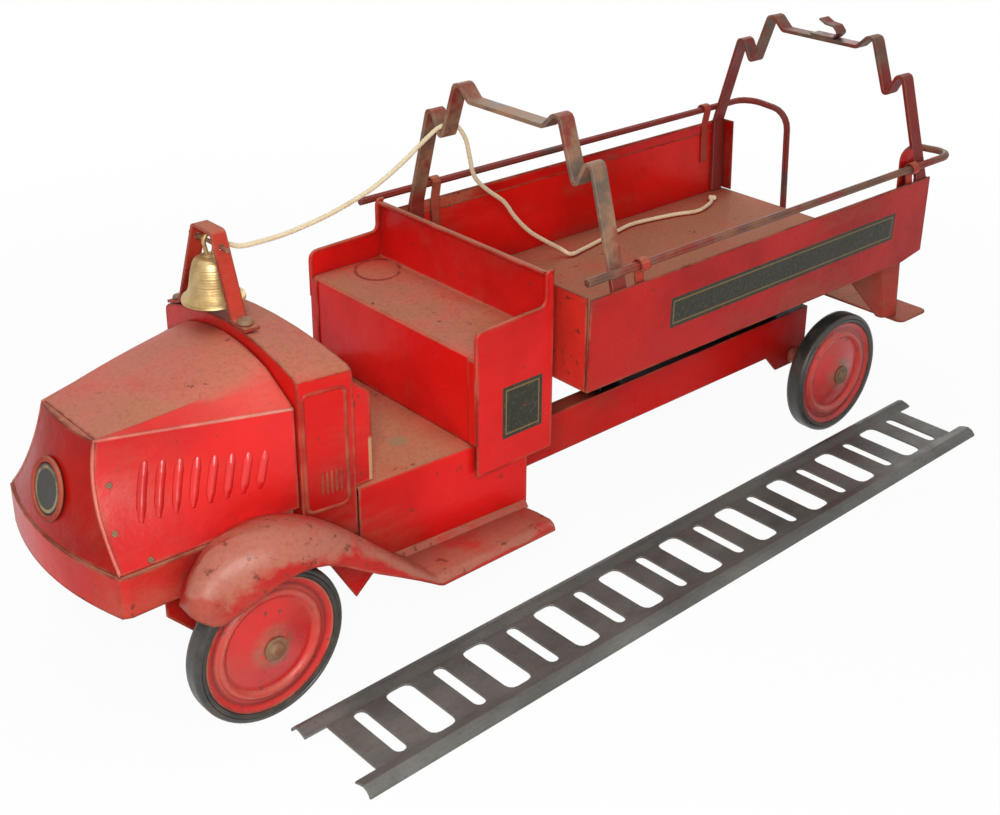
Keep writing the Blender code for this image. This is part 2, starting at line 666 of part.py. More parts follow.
def cowl():
    """Crowned cowl with its front lip, and the dash panel and door jambs inside its rear edge."""
    half = SHEET / 2
    front = COWL_FRONT_X - half
    rows = [
        mirrored(cowl_outline(COWL_REAR_X + half, COWL_REAR_HALF_W - half, COWL_REAR_CROWN, -half)),
        mirrored(cowl_outline(front, COWL_FRONT_HALF_W - half, COWL_FRONT_CROWN, -half)),
        mirrored(cowl_outline(front, COWL_FRONT_HALF_W, COWL_FRONT_CROWN * 0.6, -COWL_LIP_DROP, 0.86)),
    ]
    sheet("cowl", rows, SHEET, PAINT)
    dash_x = COWL_REAR_X + DASH_SETBACK
    dash_half_w = COWL_REAR_HALF_W - SHEET - 4 * GAP
    box("dash_panel", (dash_x, -dash_half_w, CAB_FLOOR_Z - COWL_LIP_DROP),
        (dash_x + SHEET, dash_half_w, COWL_SIDE_TOP_Z - 4 * SHEET), PAINT)
    jamb_y = COWL_REAR_HALF_W - SHEET - 2 * GAP - THIN_SHEET / 2
    jamb_front, jamb_rear = dash_x - GAP, COWL_REAR_X - JAMB_DEPTH
    jamb_top, jamb_foot = COWL_SIDE_TOP_Z - 0.0082, CAB_FLOOR_Z + GAP
    outline = [(jamb_front, jamb_foot), (jamb_front, jamb_top), (COWL_REAR_X, jamb_top),
               (jamb_rear, jamb_top - JAMB_DEPTH * 0.9), (jamb_rear, jamb_foot)]
    for side, sign in SIDES.items():
        plate(f"door_jamb_{side}", outline, THIN_SHEET, PAINT, (0, sign * jamb_y, 0))


def nose_cross_member():
    """Channel across the frame that carries the hood and skirt."""
    half_w = CHIN_HALF_W - SHEET / 2 - GAP
    front = FRAME_FRONT_X - SHEET
    channel("nose_cross_member", (front - CROSS_MEMBER_LENGTH, -half_w, FRAME_TOP_Z + GAP),
            (front, half_w, CHIN_TOP_Z - 4 * SHEET), PAINT)


# Cab
def body_side(x):
    """Half-width of the body's outer side at a station along the truck."""
    xs = (BOARD_REAR_X, CAB_FRONT_X, COWL_REAR_X, COWL_FRONT_X, CHIN_REAR_X, NOSE_FOOT_X)
    widths = (CAB_REAR_HALF_W, CAB_FRONT_HALF_W, COWL_REAR_HALF_W, COWL_FRONT_HALF_W, HOOD_REAR_HALF_W,
              CHIN_HALF_W)
    return float(np.interp(x, xs, widths))


def cab_bolster_x():
    """Middle of the bolster under the cab floor."""
    return (CAB_FRONT_X + CAB_REAR_X) / 2


def cab_base():
    """Floor and two sides in one folded sheet, wider to the rear, and the bolster under it."""
    rows = []
    for x, half_w in ((CAB_FRONT_X, CAB_FRONT_HALF_W), (CAB_REAR_X, CAB_REAR_HALF_W)):
        w = half_w - SHEET / 2
        floor = CAB_FLOOR_Z - SHEET / 2
        corners = [(-w, CAB_BOTTOM_Z), (-w, floor), (w, floor), (w, CAB_BOTTOM_Z)]
        rows.append([(x, y, z) for y, z in rounded_path(corners, 0.002, 2)])
    sheet("cab_base", rows, SHEET, PAINT)
    half_w = FRAME_HALF_W - 2 * SHEET
    middle = cab_bolster_x()
    channel("cab_bolster", (middle - CAB_BOLSTER_LENGTH / 2, -half_w, FRAME_TOP_Z + GAP),
            (middle + CAB_BOLSTER_LENGTH / 2, half_w, CAB_FLOOR_Z - SHEET - GAP), BLACK_PAINT)


def seat():
    """Folded seat pan between two sides with raised arms."""
    pan_half_w = SEAT_HALF_W - SHEET - GAP
    half = SHEET / 2
    fold = [
        (SEAT_FRONT_X - half, CAB_FLOOR_Z + GAP), (SEAT_FRONT_X - half, SEAT_TOP_Z - half),
        (SEAT_REAR_X + 0.004, SEAT_TOP_Z - half), (SEAT_REAR_X + half, SEAT_BACK_Z),
        (SEAT_REAR_X + ARM_STILE, SEAT_BACK_Z - half),
    ]
    path = rounded_path(fold, 0.003, 3)
    rows = [[(x, y, z) for x, z in path] for y in (-pan_half_w, pan_half_w)]
    sheet("seat_pan", rows, SHEET, PAINT)
    tall, stile_x = SEAT_BACK_Z - SEAT_TOP_Z, SEAT_REAR_X + ARM_STILE
    arm = rounded_path([
        (SEAT_FRONT_X, SEAT_BOTTOM_Z), (SEAT_FRONT_X, SEAT_TOP_Z + tall * 0.42),
        (stile_x, SEAT_TOP_Z + tall * 0.46), (stile_x, SEAT_BACK_Z + SHEET),
        (SEAT_REAR_X, SEAT_BACK_Z + SHEET), (SEAT_REAR_X, SEAT_BOTTOM_Z)], 0.0055, 5)
    for side, sign in SIDES.items():
        plate(f"seat_side_{side}", [tuple(p) for p in arm], SHEET, PAINT,
              (0, sign * (SEAT_HALF_W - SHEET / 2), 0))


# Fender lines from nose to tail, each point a distance ahead of the front axle and a height or an inset
CREST = [(0.0, 0.1150), (-0.0086, 0.1141), (-0.0236, 0.1095), (-0.0436, 0.0969), (-0.0636, 0.0785),
         (-0.0786, 0.0645), (-0.0930, BOARD_Z)]
LIP = [(0.0457, 0.0832), (0.0397, 0.0802), (0.0277, 0.0800), (0.0187, 0.0845), (0.0094, 0.0900),
       (-0.0036, 0.0935), (-0.0216, 0.0915), (-0.0516, 0.0740), (-0.0816, 0.0560),
       (-0.0950, BOARD_Z - BOARD_LIP)]
LIP_INSET = [(0.0457, 0.0149), (0.0397, 0.0088), (0.0277, 0.0080), (0.0094, 0.0030), (-0.0216, 0.0020),
             (-0.0816, 0.0)]
FENDER_TAIL = (-0.0076, -0.0156, -0.0236, -0.0336, -0.0436, -0.0536, -0.0656, -0.0786, -0.0880, -0.0930,
               -0.0960, -0.1006)
FENDER_NOSE, FENDER_NOSE_Z = LIP[0]
FENDER_NOSE_STEPS = 10
FENDER_SWEEP = 0.0175
FENDER_CORNER = 0.0020
FENDER_DROOP = 0.0094
FENDER_SHOULDER = 0.0191


def fender_row(ahead, x, nose=0.0):
    """One section of the fender or running board, from the body out to the lip; nose is 1 at the tip."""
    crest, lip, inset = (curve_value(ahead, knots) for knots in (CREST, LIP, LIP_INSET))
    crest = FENDER_NOSE_Z + THIN_SHEET + (crest - FENDER_NOSE_Z - THIN_SHEET) * math.sqrt(1 - nose * nose)
    lip_y = FENDER_OUTER_Y - inset
    inner = body_side(x) + THIN_SHEET / 2 + 3 * GAP
    drop = crest - lip
    shoulder_y = lip_y - min(FENDER_SHOULDER, 0.7 * drop + SHEET)
    droop = FENDER_DROOP * min(drop / 0.025, 1)
    half = [(inner, crest - droop), ((inner + shoulder_y) / 2, crest - droop * 0.25)]
    for i in range(8):
        turn = i / 7 * math.pi / 2
        half.append((shoulder_y + (lip_y - shoulder_y) * math.sin(turn), lip + drop * math.cos(turn)))
    row = []
    for y, z in half:
        across = (y - inner) / (lip_y - inner)
        back = FENDER_SWEEP * max(0, 1 - across / 0.7) ** 2 + FENDER_CORNER * max(0, across / 0.3 - 2.33) ** 2
        row.append((x - back * nose * nose, y, z))
    return row


def fenders():
    """Each fender is one pressing with its running board. Triangular brackets hang under the tail."""
    top, tail = CREST[0][0], FENDER_TAIL[-1]
    bracket_y = CAB_FRONT_HALF_W - SHEET - GAP - BRACKET_T / 2
    bracket = [(CAB_FRONT_X + 0.0200, BOARD_Z + 0.0120), (CAB_FRONT_X - 0.0150, BOARD_Z - 0.0015),
               (CAB_FRONT_X + 0.0030, BOARD_Z - 0.0170)]
    half = []
    for turn in np.linspace(math.pi / 2, 0, FENDER_NOSE_STEPS):
        ahead = top + (FENDER_NOSE - top) * math.sin(turn)
        half.append(fender_row(ahead, FRONT_AXLE_X + ahead, math.sin(turn)))
    half += [fender_row(ahead, FRONT_AXLE_X + ahead) for ahead in FENDER_TAIL]
    half.append(fender_row(tail, BOARD_REAR_X))
    for side, sign in SIDES.items():
        rows = [[(x, sign * y, z) for x, y, z in row] for row in half]
        sheet(f"fender_{side}", rows, THIN_SHEET, PAINT)
        plate(f"fender_bracket_{side}", bracket, BRACKET_T, PAINT, (0, sign * bracket_y, 0))


# Bed
def bed():
    """Floor, two slightly flared sides, front panel and the bolsters under the floor."""
    height = BED_TOP_Z - BED_BOTTOM_Z
    flare = math.atan2(BED_TOP_HALF_W - BED_BOTTOM_HALF_W, height)
    sag = 0.0015
    outline = [(BED_FRONT_X, 0), (BED_FRONT_X, height), (BED_REAR_X, height),
               (BED_REAR_X - sag, 2 * sag), (BED_REAR_X + 0.024, -sag)]
    for side, sign in SIDES.items():
        plate(f"bed_side_{side}", outline, SHEET, PAINT,
              (0, sign * (BED_BOTTOM_HALF_W - SHEET / 2), BED_BOTTOM_Z),
              (math.pi / 2 - sign * flare, 0, 0))
    half_w = BED_BOTTOM_HALF_W - SHEET - 2 * GAP
    box("bed_floor", (BED_REAR_X, -half_w, BED_FLOOR_TOP_Z - SHEET),
        (BED_FRONT_X - SHEET - GAP, half_w, BED_FLOOR_TOP_Z), PAINT)
    box("bed_front_panel", (BED_FRONT_X - SHEET, -half_w, BED_BOTTOM_Z),
        (BED_FRONT_X, half_w, BED_TOP_Z), PAINT)
    half_w = FRAME_HALF_W - 2 * SHEET
    for label, x in BOLSTER_X.items():
        channel(f"bed_bolster_{label}", (x - BOLSTER_LENGTH / 2, -half_w, FRAME_TOP_Z + GAP),
                (x + BOLSTER_LENGTH / 2, half_w, BED_FLOOR_TOP_Z - SHEET - GAP), BLACK_PAINT)


def rear_step():
    """Step board behind the bed, hung from two plates that lean forward and turn a corner."""
    plan = rounded_path([
        (STEP_FRONT_X, 0), (STEP_FRONT_X, STEP_HALF_W), (STEP_REAR_X, STEP_HALF_W),
        (STEP_REAR_X, -STEP_HALF_W), (STEP_FRONT_X, -STEP_HALF_W), (STEP_FRONT_X, -SHEET)],
        STEP_CORNER_R, 3)
    plate("rear_step", [tuple(p) for p in plan], STEP_T, PAINT, (0, 0, STEP_TOP_Z - STEP_T / 2), (0, 0, 0))
    top = BED_FLOOR_TOP_Z - SHEET - 2 * GAP
    foot = STEP_TOP_Z + 2 * GAP
    for side, sign in SIDES.items():
        rows = []
        for z, (ridge_x, ridge_y), reach, (tail, splay) in (
                (foot, HANGER_FOOT_RIDGE, HANGER_FOOT_REACH, HANGER_FOOT_TAIL),
                (top, HANGER_TOP_RIDGE, HANGER_TOP_REACH, HANGER_TOP_TAIL)):
            plan = [(ridge_x, ridge_y - reach), (ridge_x, ridge_y), (ridge_x - tail, ridge_y + splay)]
            rows.append([(x, sign * y, z) for x, y in rounded_path(plan, HANGER_BEND_R, 4)])
        sheet(f"step_hanger_{side}", rows, BRACKET_T, PAINT)


# Top gear
def wall_inside(z):
    """Where the inner face of a bed side stands at a height."""
    part = (z - BED_BOTTOM_Z) / (BED_TOP_Z - BED_BOTTOM_Z)
    return BED_BOTTOM_HALF_W - SHEET + (BED_TOP_HALF_W - BED_BOTTOM_HALF_W) * part


def rack_path():
    """Centre line of a ladder rack as (y, z), from the left foot over to the right foot."""
    foot_z = BED_FLOOR_TOP_Z + GAP
    off_wall = RACK_T / 2 + GAP
    half = [(wall_inside(foot_z) - off_wall, foot_z), (wall_inside(BED_TOP_Z) - off_wall, BED_TOP_Z)]
    for middle, z, flat in ((RACK_HUMP_Y, RACK_HUMP_Z, 0.0045), (RACK_NOTCH_Y, RACK_NOTCH_Z, 0.0030),
                            (RACK_SHOULDER_Y, RACK_SHOULDER_Z, 0.0050)):
        half += [(middle + flat / 2, z), (middle - flat / 2, z)]
    half.append((RACK_BAR_HALF_W, RACK_BAR_Z))
    full = half + [(-y, z) for y, z in reversed(half)]
    return rounded_path(full, RACK_BEND_R, 2)


def racks():
    """Two bent-strap ladder racks, and the hook on the rear one."""
    for label, x in (("front", FRONT_RACK_X), ("rear", REAR_RACK_X)):
        strap(f"ladder_rack_{label}", rack_path(), x, RACK_WIDTH, RACK_T, STEEL)
    base = RACK_BAR_Z + RACK_T / 2 + GAP + HOOK_T / 2
    claw = [(-0.0080, 0), (0.0120, 0), (0.0158, 0.0042), (0.0118, 0.0084), (0.0045, 0.0092),
            (-0.0010, 0.0120)]
    hook = rounded_path([(y, base + rise) for y, rise in claw], 0.0016, 2)
    strap("rack_hook", hook, REAR_RACK_X, HOOK_WIDTH, HOOK_T, STEEL)


def handrail(side):
    """Rod along the bed side that turns in at the rear and runs down to the step."""
    sign = SIDES[side]
    corners = [(RAIL_FRONT_X[side], RAIL_Y, RAIL_Z), (RAIL_REAR_X, RAIL_Y, RAIL_Z),
               (RAIL_REAR_X, RAIL_DROP_Y, RAIL_Z - 0.003), (RAIL_FOOT_X, RAIL_DROP_Y, STEP_TOP_Z + 2 * GAP)]
    path = rounded_path(corners, RAIL_BEND_R, 5)
    rod(f"handrail_{side}", [(x, sign * y, z) for x, y, z in path], RAIL_R, STEEL)


def rail_clips(side):
    """Straps inside the bed side that rise and hook over the handrail."""
    sign = SIDES[side]
    bend_r = RAIL_R + 2 * GAP + THIN_SHEET / 2
    off_wall = THIN_SHEET / 2 + GAP
    path = [(wall_inside(z) - off_wall, z) for z in (CLIP_FOOT_Z, BED_TOP_Z)]
    for step in range(7):
        turn = math.radians(165 - step * 35)
        path.append((RAIL_Y + bend_r * math.cos(turn), RAIL_Z + bend_r * math.sin(turn)))
    for label, x in CLIP_X.items():
        strap(f"rail_clip_{label}_{side}", [(sign * y, z) for y, z in path], x, CLIP_WIDTH, THIN_SHEET, PAINT)


# Bell and rope
def cowl_top(y):
    """Height of the cowl's front edge, the highest under the bell bracket."""
    return COWL_SIDE_TOP_Z + COWL_FRONT_CROWN * (1 - (y / COWL_FRONT_HALF_W) ** 2)


def bell_bracket():
    """Inverted-V strap with feet turned outwards, its bolts and the pin that the bell hangs on."""
    rest = BRACKET_T / 2 + 2 * GAP
    far, near = BRACKET_FOOT_Y
    corners = [
        (far - FOOT_LENGTH, cowl_top(far - FOOT_LENGTH) + rest), (far, cowl_top(far) + rest),
        (BRACKET_TOP_Y[0], BRACKET_TOP_Z), (BRACKET_TOP_Y[1], BRACKET_TOP_Z),
        (near, cowl_top(near) + rest), (near + FOOT_LENGTH, cowl_top(near + FOOT_LENGTH) + rest),
    ]
    bracket = strap("bell_bracket", rounded_path(corners, 0.0025, 3), BELL_X, BRACKET_WIDTH, BRACKET_T, PAINT)
    hole = cylinder("pin_hole", PIN_R + GAP, 2 * PIN_LENGTH, (BELL_X, BELL_Y, PIN_Z), PAINT, 12)
    boolean(bracket, hole)
    for label, inner, outer in (("far", far, far - FOOT_LENGTH), ("near", near, near + FOOT_LENGTH)):
        y = inner + (outer - inner) * BOLT_ALONG
        rise = cowl_top(inner) - cowl_top(outer)
        slope = math.atan(rise / (inner - outer))
        z = cowl_top(inner) - BOLT_ALONG * rise + rest + (BRACKET_T / 2 + GAP) / math.cos(slope)
        turned(f"bell_bolt_{label}", [
            (0, BOLT_R * 0.58), (BOLT_R * 0.8, BOLT_R * 0.53), (BOLT_R, BOLT_R * 0.2), (BOLT_R, 0), (0, 0)],
            STEEL, (BELL_X, y, z), (slope, 0, 0), SMALL_STEPS, closed=False)
    cylinder("bell_pin", PIN_R, PIN_LENGTH, (BELL_X, BELL_Y, PIN_Z), STEEL, 12)


def bell():
    """Turned bell with an oval eyelet, its origin on the hanging pin, and the clapper inside."""
    hang = bpy.data.objects.new("bell_hinge", None)
    hang.location = (BELL_X, BELL_Y, PIN_Z)
    hang.parent = TRUCK
    PARTS.objects.link(hang)
    top, tall, wide = -BELL_DROP, BELL_HEIGHT, BELL_RIM_R
    rim = top - tall
    shape = [(0.44, 0.11), (0.57, 0.28), (0.64, 0.50), (0.74, 0.72), (0.92, 0.90)]
    knob = BELL_WALL * 0.6
    outer = [(0, top + knob), (wide * 0.17, top + knob), (wide * 0.22, top - knob)]
    outer += [(wide * part, top - tall * down) for part, down in shape]
    outer += [(wide, rim + BELL_WALL * 0.7), (wide, rim)]
    inner = [(wide - BELL_WALL, rim)]
    inner += [(wide * part - BELL_WALL, top - tall * down) for part, down in reversed(shape[1:])]
    inner += [(wide * 0.32, top - tall * 0.17), (0, top - tall * 0.15)]
    made = turned("bell", outer + inner, BELL_BRASS, (0, 0, 0), (0, 0, 0), 24, closed=False, parent=hang)
    oval = [(EYELET_R * math.cos(a), 0, EYELET_R * math.sin(a)) for a in np.linspace(-0.4, math.pi + 0.4, 15)]
    foot = EYELET_WIRE_R * 1.5
    oval = [(foot, 0, top)] + oval + [(-foot, 0, top)]
    eyelet = as_mesh(rod("eyelet", oval, EYELET_WIRE_R, BELL_BRASS, 1, parent=hang))
    boolean(made, eyelet, "UNION")
    pivot = bpy.data.objects.new("clapper_hinge", None)
    pivot.location = (0, 0, top - tall * 0.30)
    pivot.parent = hang
    PARTS.objects.link(pivot)
    drop, ball, stem = rim - pivot.location.z, CLAPPER_R, CLAPPER_R * 0.2
    stem_top = -CLAPPER_PIN_R - 2 * GAP
    turned("clapper", [
        (0, stem_top), (stem, stem_top), (stem, drop + ball * 1.8), (ball * 0.7, drop + ball * 1.4),
        (ball, drop + ball * 0.6), (ball * 0.7, drop - ball * 0.2), (0, drop - ball * 0.35)], STEEL,
        (0, 0, 0), (0, 0, 0), 12, closed=False, parent=pivot)
    cylinder("clapper_pin", CLAPPER_PIN_R, 4 * CLAPPER_R, (0, 0, 0), STEEL, 10, parent=pivot)
    knot = FRONT_KNOT_R
    turned("rope_knot_front", [(0, knot), (knot * 0.75, knot * 0.7), (knot, 0), (knot * 0.75, -knot * 0.7),
                               (0, -knot)], ROPE_COTTON, FRONT_KNOT_OFFSET, (0, 0, 0), 12, closed=False,
           parent=hang)


def rope():
    """Bell rope along its route, and the knot at its end in the bed."""
    points = smooth_route(ROPE_ROUTE, ROPE_STEP)
    rod("bell_rope", points, ROPE_R, ROPE_COTTON, 2)
    end = Vector(points[-1])
    ahead = (end - Vector(points[-2])).normalized()
    spot = end + ahead * (REAR_KNOT_R + GAP) + Vector((0, 0, GAP))
    r, half = REAR_KNOT_R, ROPE_R * 1.2
    turned("rope_knot_rear", [(0, half), (r * 0.8, half * 0.8), (r, 0), (r * 0.8, -half * 0.8), (0, -half)],
           ROPE_COTTON, spot, (0, 0, 0), 12, closed=False)


# Ladder
def rounded_slot(width, half_length, radius):
    """Outline of a slot with round corners, long along Y, about its own middle."""
    half = width / 2
    outline = []
    for i in range(4):
        corner_x = (half - radius) * (1 if i in (0, 3) else -1)
        corner_y = (half_length - radius) * (1 if i in (0, 1) else -1)
        for step in range(4):
            turn = math.pi / 2 * (i + step / 3)
            outline.append((corner_x + radius * math.cos(turn), corner_y + radius * math.sin(turn)))
    return outline


def ladder():
    """Stamped sheet with folded side rails and ten slotted rungs, open between the rails at both ends."""
    laid = bpy.data.objects.new("ladder_place", None)
    laid.location = (*LADDER_CENTRE, 0)
    laid.rotation_euler = (0, 0, LADDER_YAW)
    laid.parent = TRUCK
    PARTS.objects.link(laid)
    half = SHEET / 2
    web, rise, rail = LADDER_WEB_Z, LADDER_RAIL_RISE, LADDER_RAIL_W
    w = LADDER_HALF_W - half
    fold = [(w, 0.0), (w - rail * 0.04, web * 0.6), (w - rail * 0.2, web + rise * 0.5),
            (w - rail * 0.45, web + rise), (w - rail * 0.75, web + rise * 0.6), (w - rail, web)]
    section = fold + [(-y, z) for y, z in reversed(fold)]
    ends = (-LADDER_LENGTH / 2, LADDER_LENGTH / 2)
    rows = [[(x, y, z) for y, z in section] for x in ends]
    made = sheet("ladder", rows, SHEET, LADDER_STEEL, parent=laid)
    hole_width = RUNG_PITCH - 2 * RUNG_STRIP - SLOT_WIDTH
    first = (RUNG_COUNT - 1) / 2 * RUNG_PITCH
    cutters = []
    for i in range(RUNG_COUNT):
        cutters.append((first - i * RUNG_PITCH, SLOT_WIDTH, SLOT_HALF_LENGTH, SLOT_WIDTH / 2 * 0.98))
    for i in range(RUNG_COUNT - 1):
        cutters.append((first - (i + 0.5) * RUNG_PITCH, hole_width, HOLE_HALF_LENGTH, HOLE_CORNER_R))
    pieces = []
    for x, width, half_length, radius in cutters:
        outline = [(x + u, v) for u, v in rounded_slot(width, half_length, radius)]
        pieces.append(plate("slot", outline, 8 * SHEET, LADDER_STEEL, (0, 0, web), (0, 0, 0)))
    open_in = first + SLOT_WIDTH / 2 + RUNG_STRIP
    open_out = LADDER_LENGTH / 2 + SHEET
    for sign in (1, -1):
        low, high = sorted((sign * open_in, sign * open_out))
        pieces.append(box("open_end", (low, -HOLE_HALF_LENGTH, web - 4 * SHEET),
                          (high, HOLE_HALF_LENGTH, web + 4 * SHEET), LADDER_STEEL))
    tool = join("ladder_openings", pieces)
    tool.parent = laid
    boolean(made, tool)


def build():
    """Make every piece."""
    chassis_frame()
    for label, x in (("front", FRONT_AXLE_X), ("rear", REAR_AXLE_X)):
        axle(label, x)
        for side in SIDES:
            wheel(label, side, x)
    hood()
    radiator_front()
    chin_skirt()
    nose_cross_member()
    cowl()
    cab_base()
    seat()
    fenders()
    bed()
    rear_step()
    racks()
    for side in SIDES:
        handrail(side)
        rail_clips(side)
    bell_bracket()
    bell()
    rope()
    ladder()


build()
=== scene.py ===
"""Looks of the pressed-steel toy ladder truck: worn red paint, dust, bare steel, brass, rubber and rope.

Metres, in the frame of the solids. Truck coordinates have y = 0 in the truck's own middle plane; SHIFT
takes them to the frame.
"""
import math

import bmesh
import bpy
import numpy as np
from mathutils import Matrix, Vector
from mathutils.bvhtree import BVHTree


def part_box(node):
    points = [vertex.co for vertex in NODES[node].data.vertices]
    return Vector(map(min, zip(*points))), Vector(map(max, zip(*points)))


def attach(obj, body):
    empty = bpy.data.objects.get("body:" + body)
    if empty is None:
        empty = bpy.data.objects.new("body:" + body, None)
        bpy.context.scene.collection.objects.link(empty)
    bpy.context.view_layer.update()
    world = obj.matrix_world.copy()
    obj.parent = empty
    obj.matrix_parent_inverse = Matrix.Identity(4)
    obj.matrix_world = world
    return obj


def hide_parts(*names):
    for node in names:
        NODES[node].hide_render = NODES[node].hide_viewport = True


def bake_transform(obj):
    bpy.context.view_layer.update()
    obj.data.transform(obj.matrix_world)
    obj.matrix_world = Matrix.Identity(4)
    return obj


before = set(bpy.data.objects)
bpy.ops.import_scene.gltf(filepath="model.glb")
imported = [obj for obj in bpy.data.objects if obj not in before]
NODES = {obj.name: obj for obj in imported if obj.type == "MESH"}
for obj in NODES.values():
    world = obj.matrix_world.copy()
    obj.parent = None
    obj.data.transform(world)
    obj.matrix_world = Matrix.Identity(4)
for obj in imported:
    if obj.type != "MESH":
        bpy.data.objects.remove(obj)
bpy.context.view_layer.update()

# The front axle's middle in truck coordinates, which the frame has between AXLE_LOW and AXLE_HIGH
FRONT_AXLE = Vector((0.2166, 0.0, 0.0440))
AXLE_LOW, AXLE_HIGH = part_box("front_axle")
SHIFT = (AXLE_LOW + AXLE_HIGH) / 2 - FRONT_AXLE
SIDES = {"left": 1, "right": -1}


def to_frame(point):
    """A point in truck coordinates, moved to the frame."""
    return Vector(point) + SHIFT


def new_object(name, data):
    """An object of the scene that shows some data."""
    made = bpy.data.objects.new(name, data)
    bpy.context.scene.collection.objects.link(made)
    return made


# Camera
IMAGE_WIDTH, IMAGE_HEIGHT = 1000, 815
CAMERA_SPOT = (0.53403, 0.62069, 0.50310)
FOCAL_PIXELS = 1449.62
PRINCIPAL_POINT = (538.56, 279.95)
YAW, PITCH, ROLL = (math.radians(a) for a in (-132.958, -22.734, 0.873))
SENSOR = 36.0


def make_camera():
    """The camera where the photograph was taken from."""
    ahead = Vector((math.cos(YAW) * math.cos(PITCH), math.sin(YAW) * math.cos(PITCH), math.sin(PITCH)))
    right = Vector((math.sin(YAW), -math.cos(YAW), 0))
    up = right.cross(ahead)
    tilted_right = right * math.cos(ROLL) + up * math.sin(ROLL)
    tilted_up = up * math.cos(ROLL) - right * math.sin(ROLL)
    data = bpy.data.cameras.new("photo_camera")
    data.sensor_width = SENSOR
    data.lens = FOCAL_PIXELS / IMAGE_WIDTH * SENSOR
    data.shift_x = (IMAGE_WIDTH / 2 - PRINCIPAL_POINT[0]) / IMAGE_WIDTH
    data.shift_y = (PRINCIPAL_POINT[1] - IMAGE_HEIGHT / 2) / IMAGE_WIDTH
    data.clip_start = 0.01
    data.clip_end = 50
    camera = new_object("photo_camera", data)
    turn = Matrix((tilted_right, tilted_up, -ahead)).transposed()
    camera.matrix_world = Matrix.Translation(to_frame(CAMERA_SPOT)) @ turn.to_4x4()
    bpy.context.scene.camera = camera


make_camera()

# Materials
EDGE_ROUND = 0.0009
FOLD_ALIKE = (0.975, 0.86)


def srgb(red, green, blue):
    """A colour as seen on screen, 0 to 255, as linear values."""
    parts = []
    for part in (red, green, blue):
        part = part / 255
        parts.append(part / 12.92 if part <= 0.04045 else ((part + 0.055) / 1.055) ** 2.4)
    return (*parts, 1.0)


class Nodes:
    """A node tree, with short ways to add and join nodes."""

    def __init__(self, tree):
        self.tree = tree

    def put(self, socket, value):
        """Join a value to a socket, or set it there."""
        if isinstance(value, bpy.types.NodeSocket):
            self.tree.links.new(value, socket)
        else:
            socket.default_value = value

    def node(self, kind, inputs=None, out=0, **settings):
        """One output of a new node."""
        made = self.tree.nodes.new(kind)
        for key, value in settings.items():
            setattr(made, key, value)
        for key, value in (inputs or {}).items():
            self.put(made.inputs[key], value)
        return made.outputs[out] if made.outputs else None

    def math(self, operation, first, second=0.0, **settings):
        return self.node("ShaderNodeMath", {0: first, 1: second}, operation=operation, **settings)

    def background_rays(self):
        """One for what the camera, a reflection or a clear piece sees directly."""
        rays = self.tree.nodes.new("ShaderNodeLightPath").outputs
        total = rays["Is Camera Ray"]
        for kind in ("Is Glossy Ray", "Is Transmission Ray"):
            total = self.math("ADD", total, rays[kind], use_clamp=True)
        return total


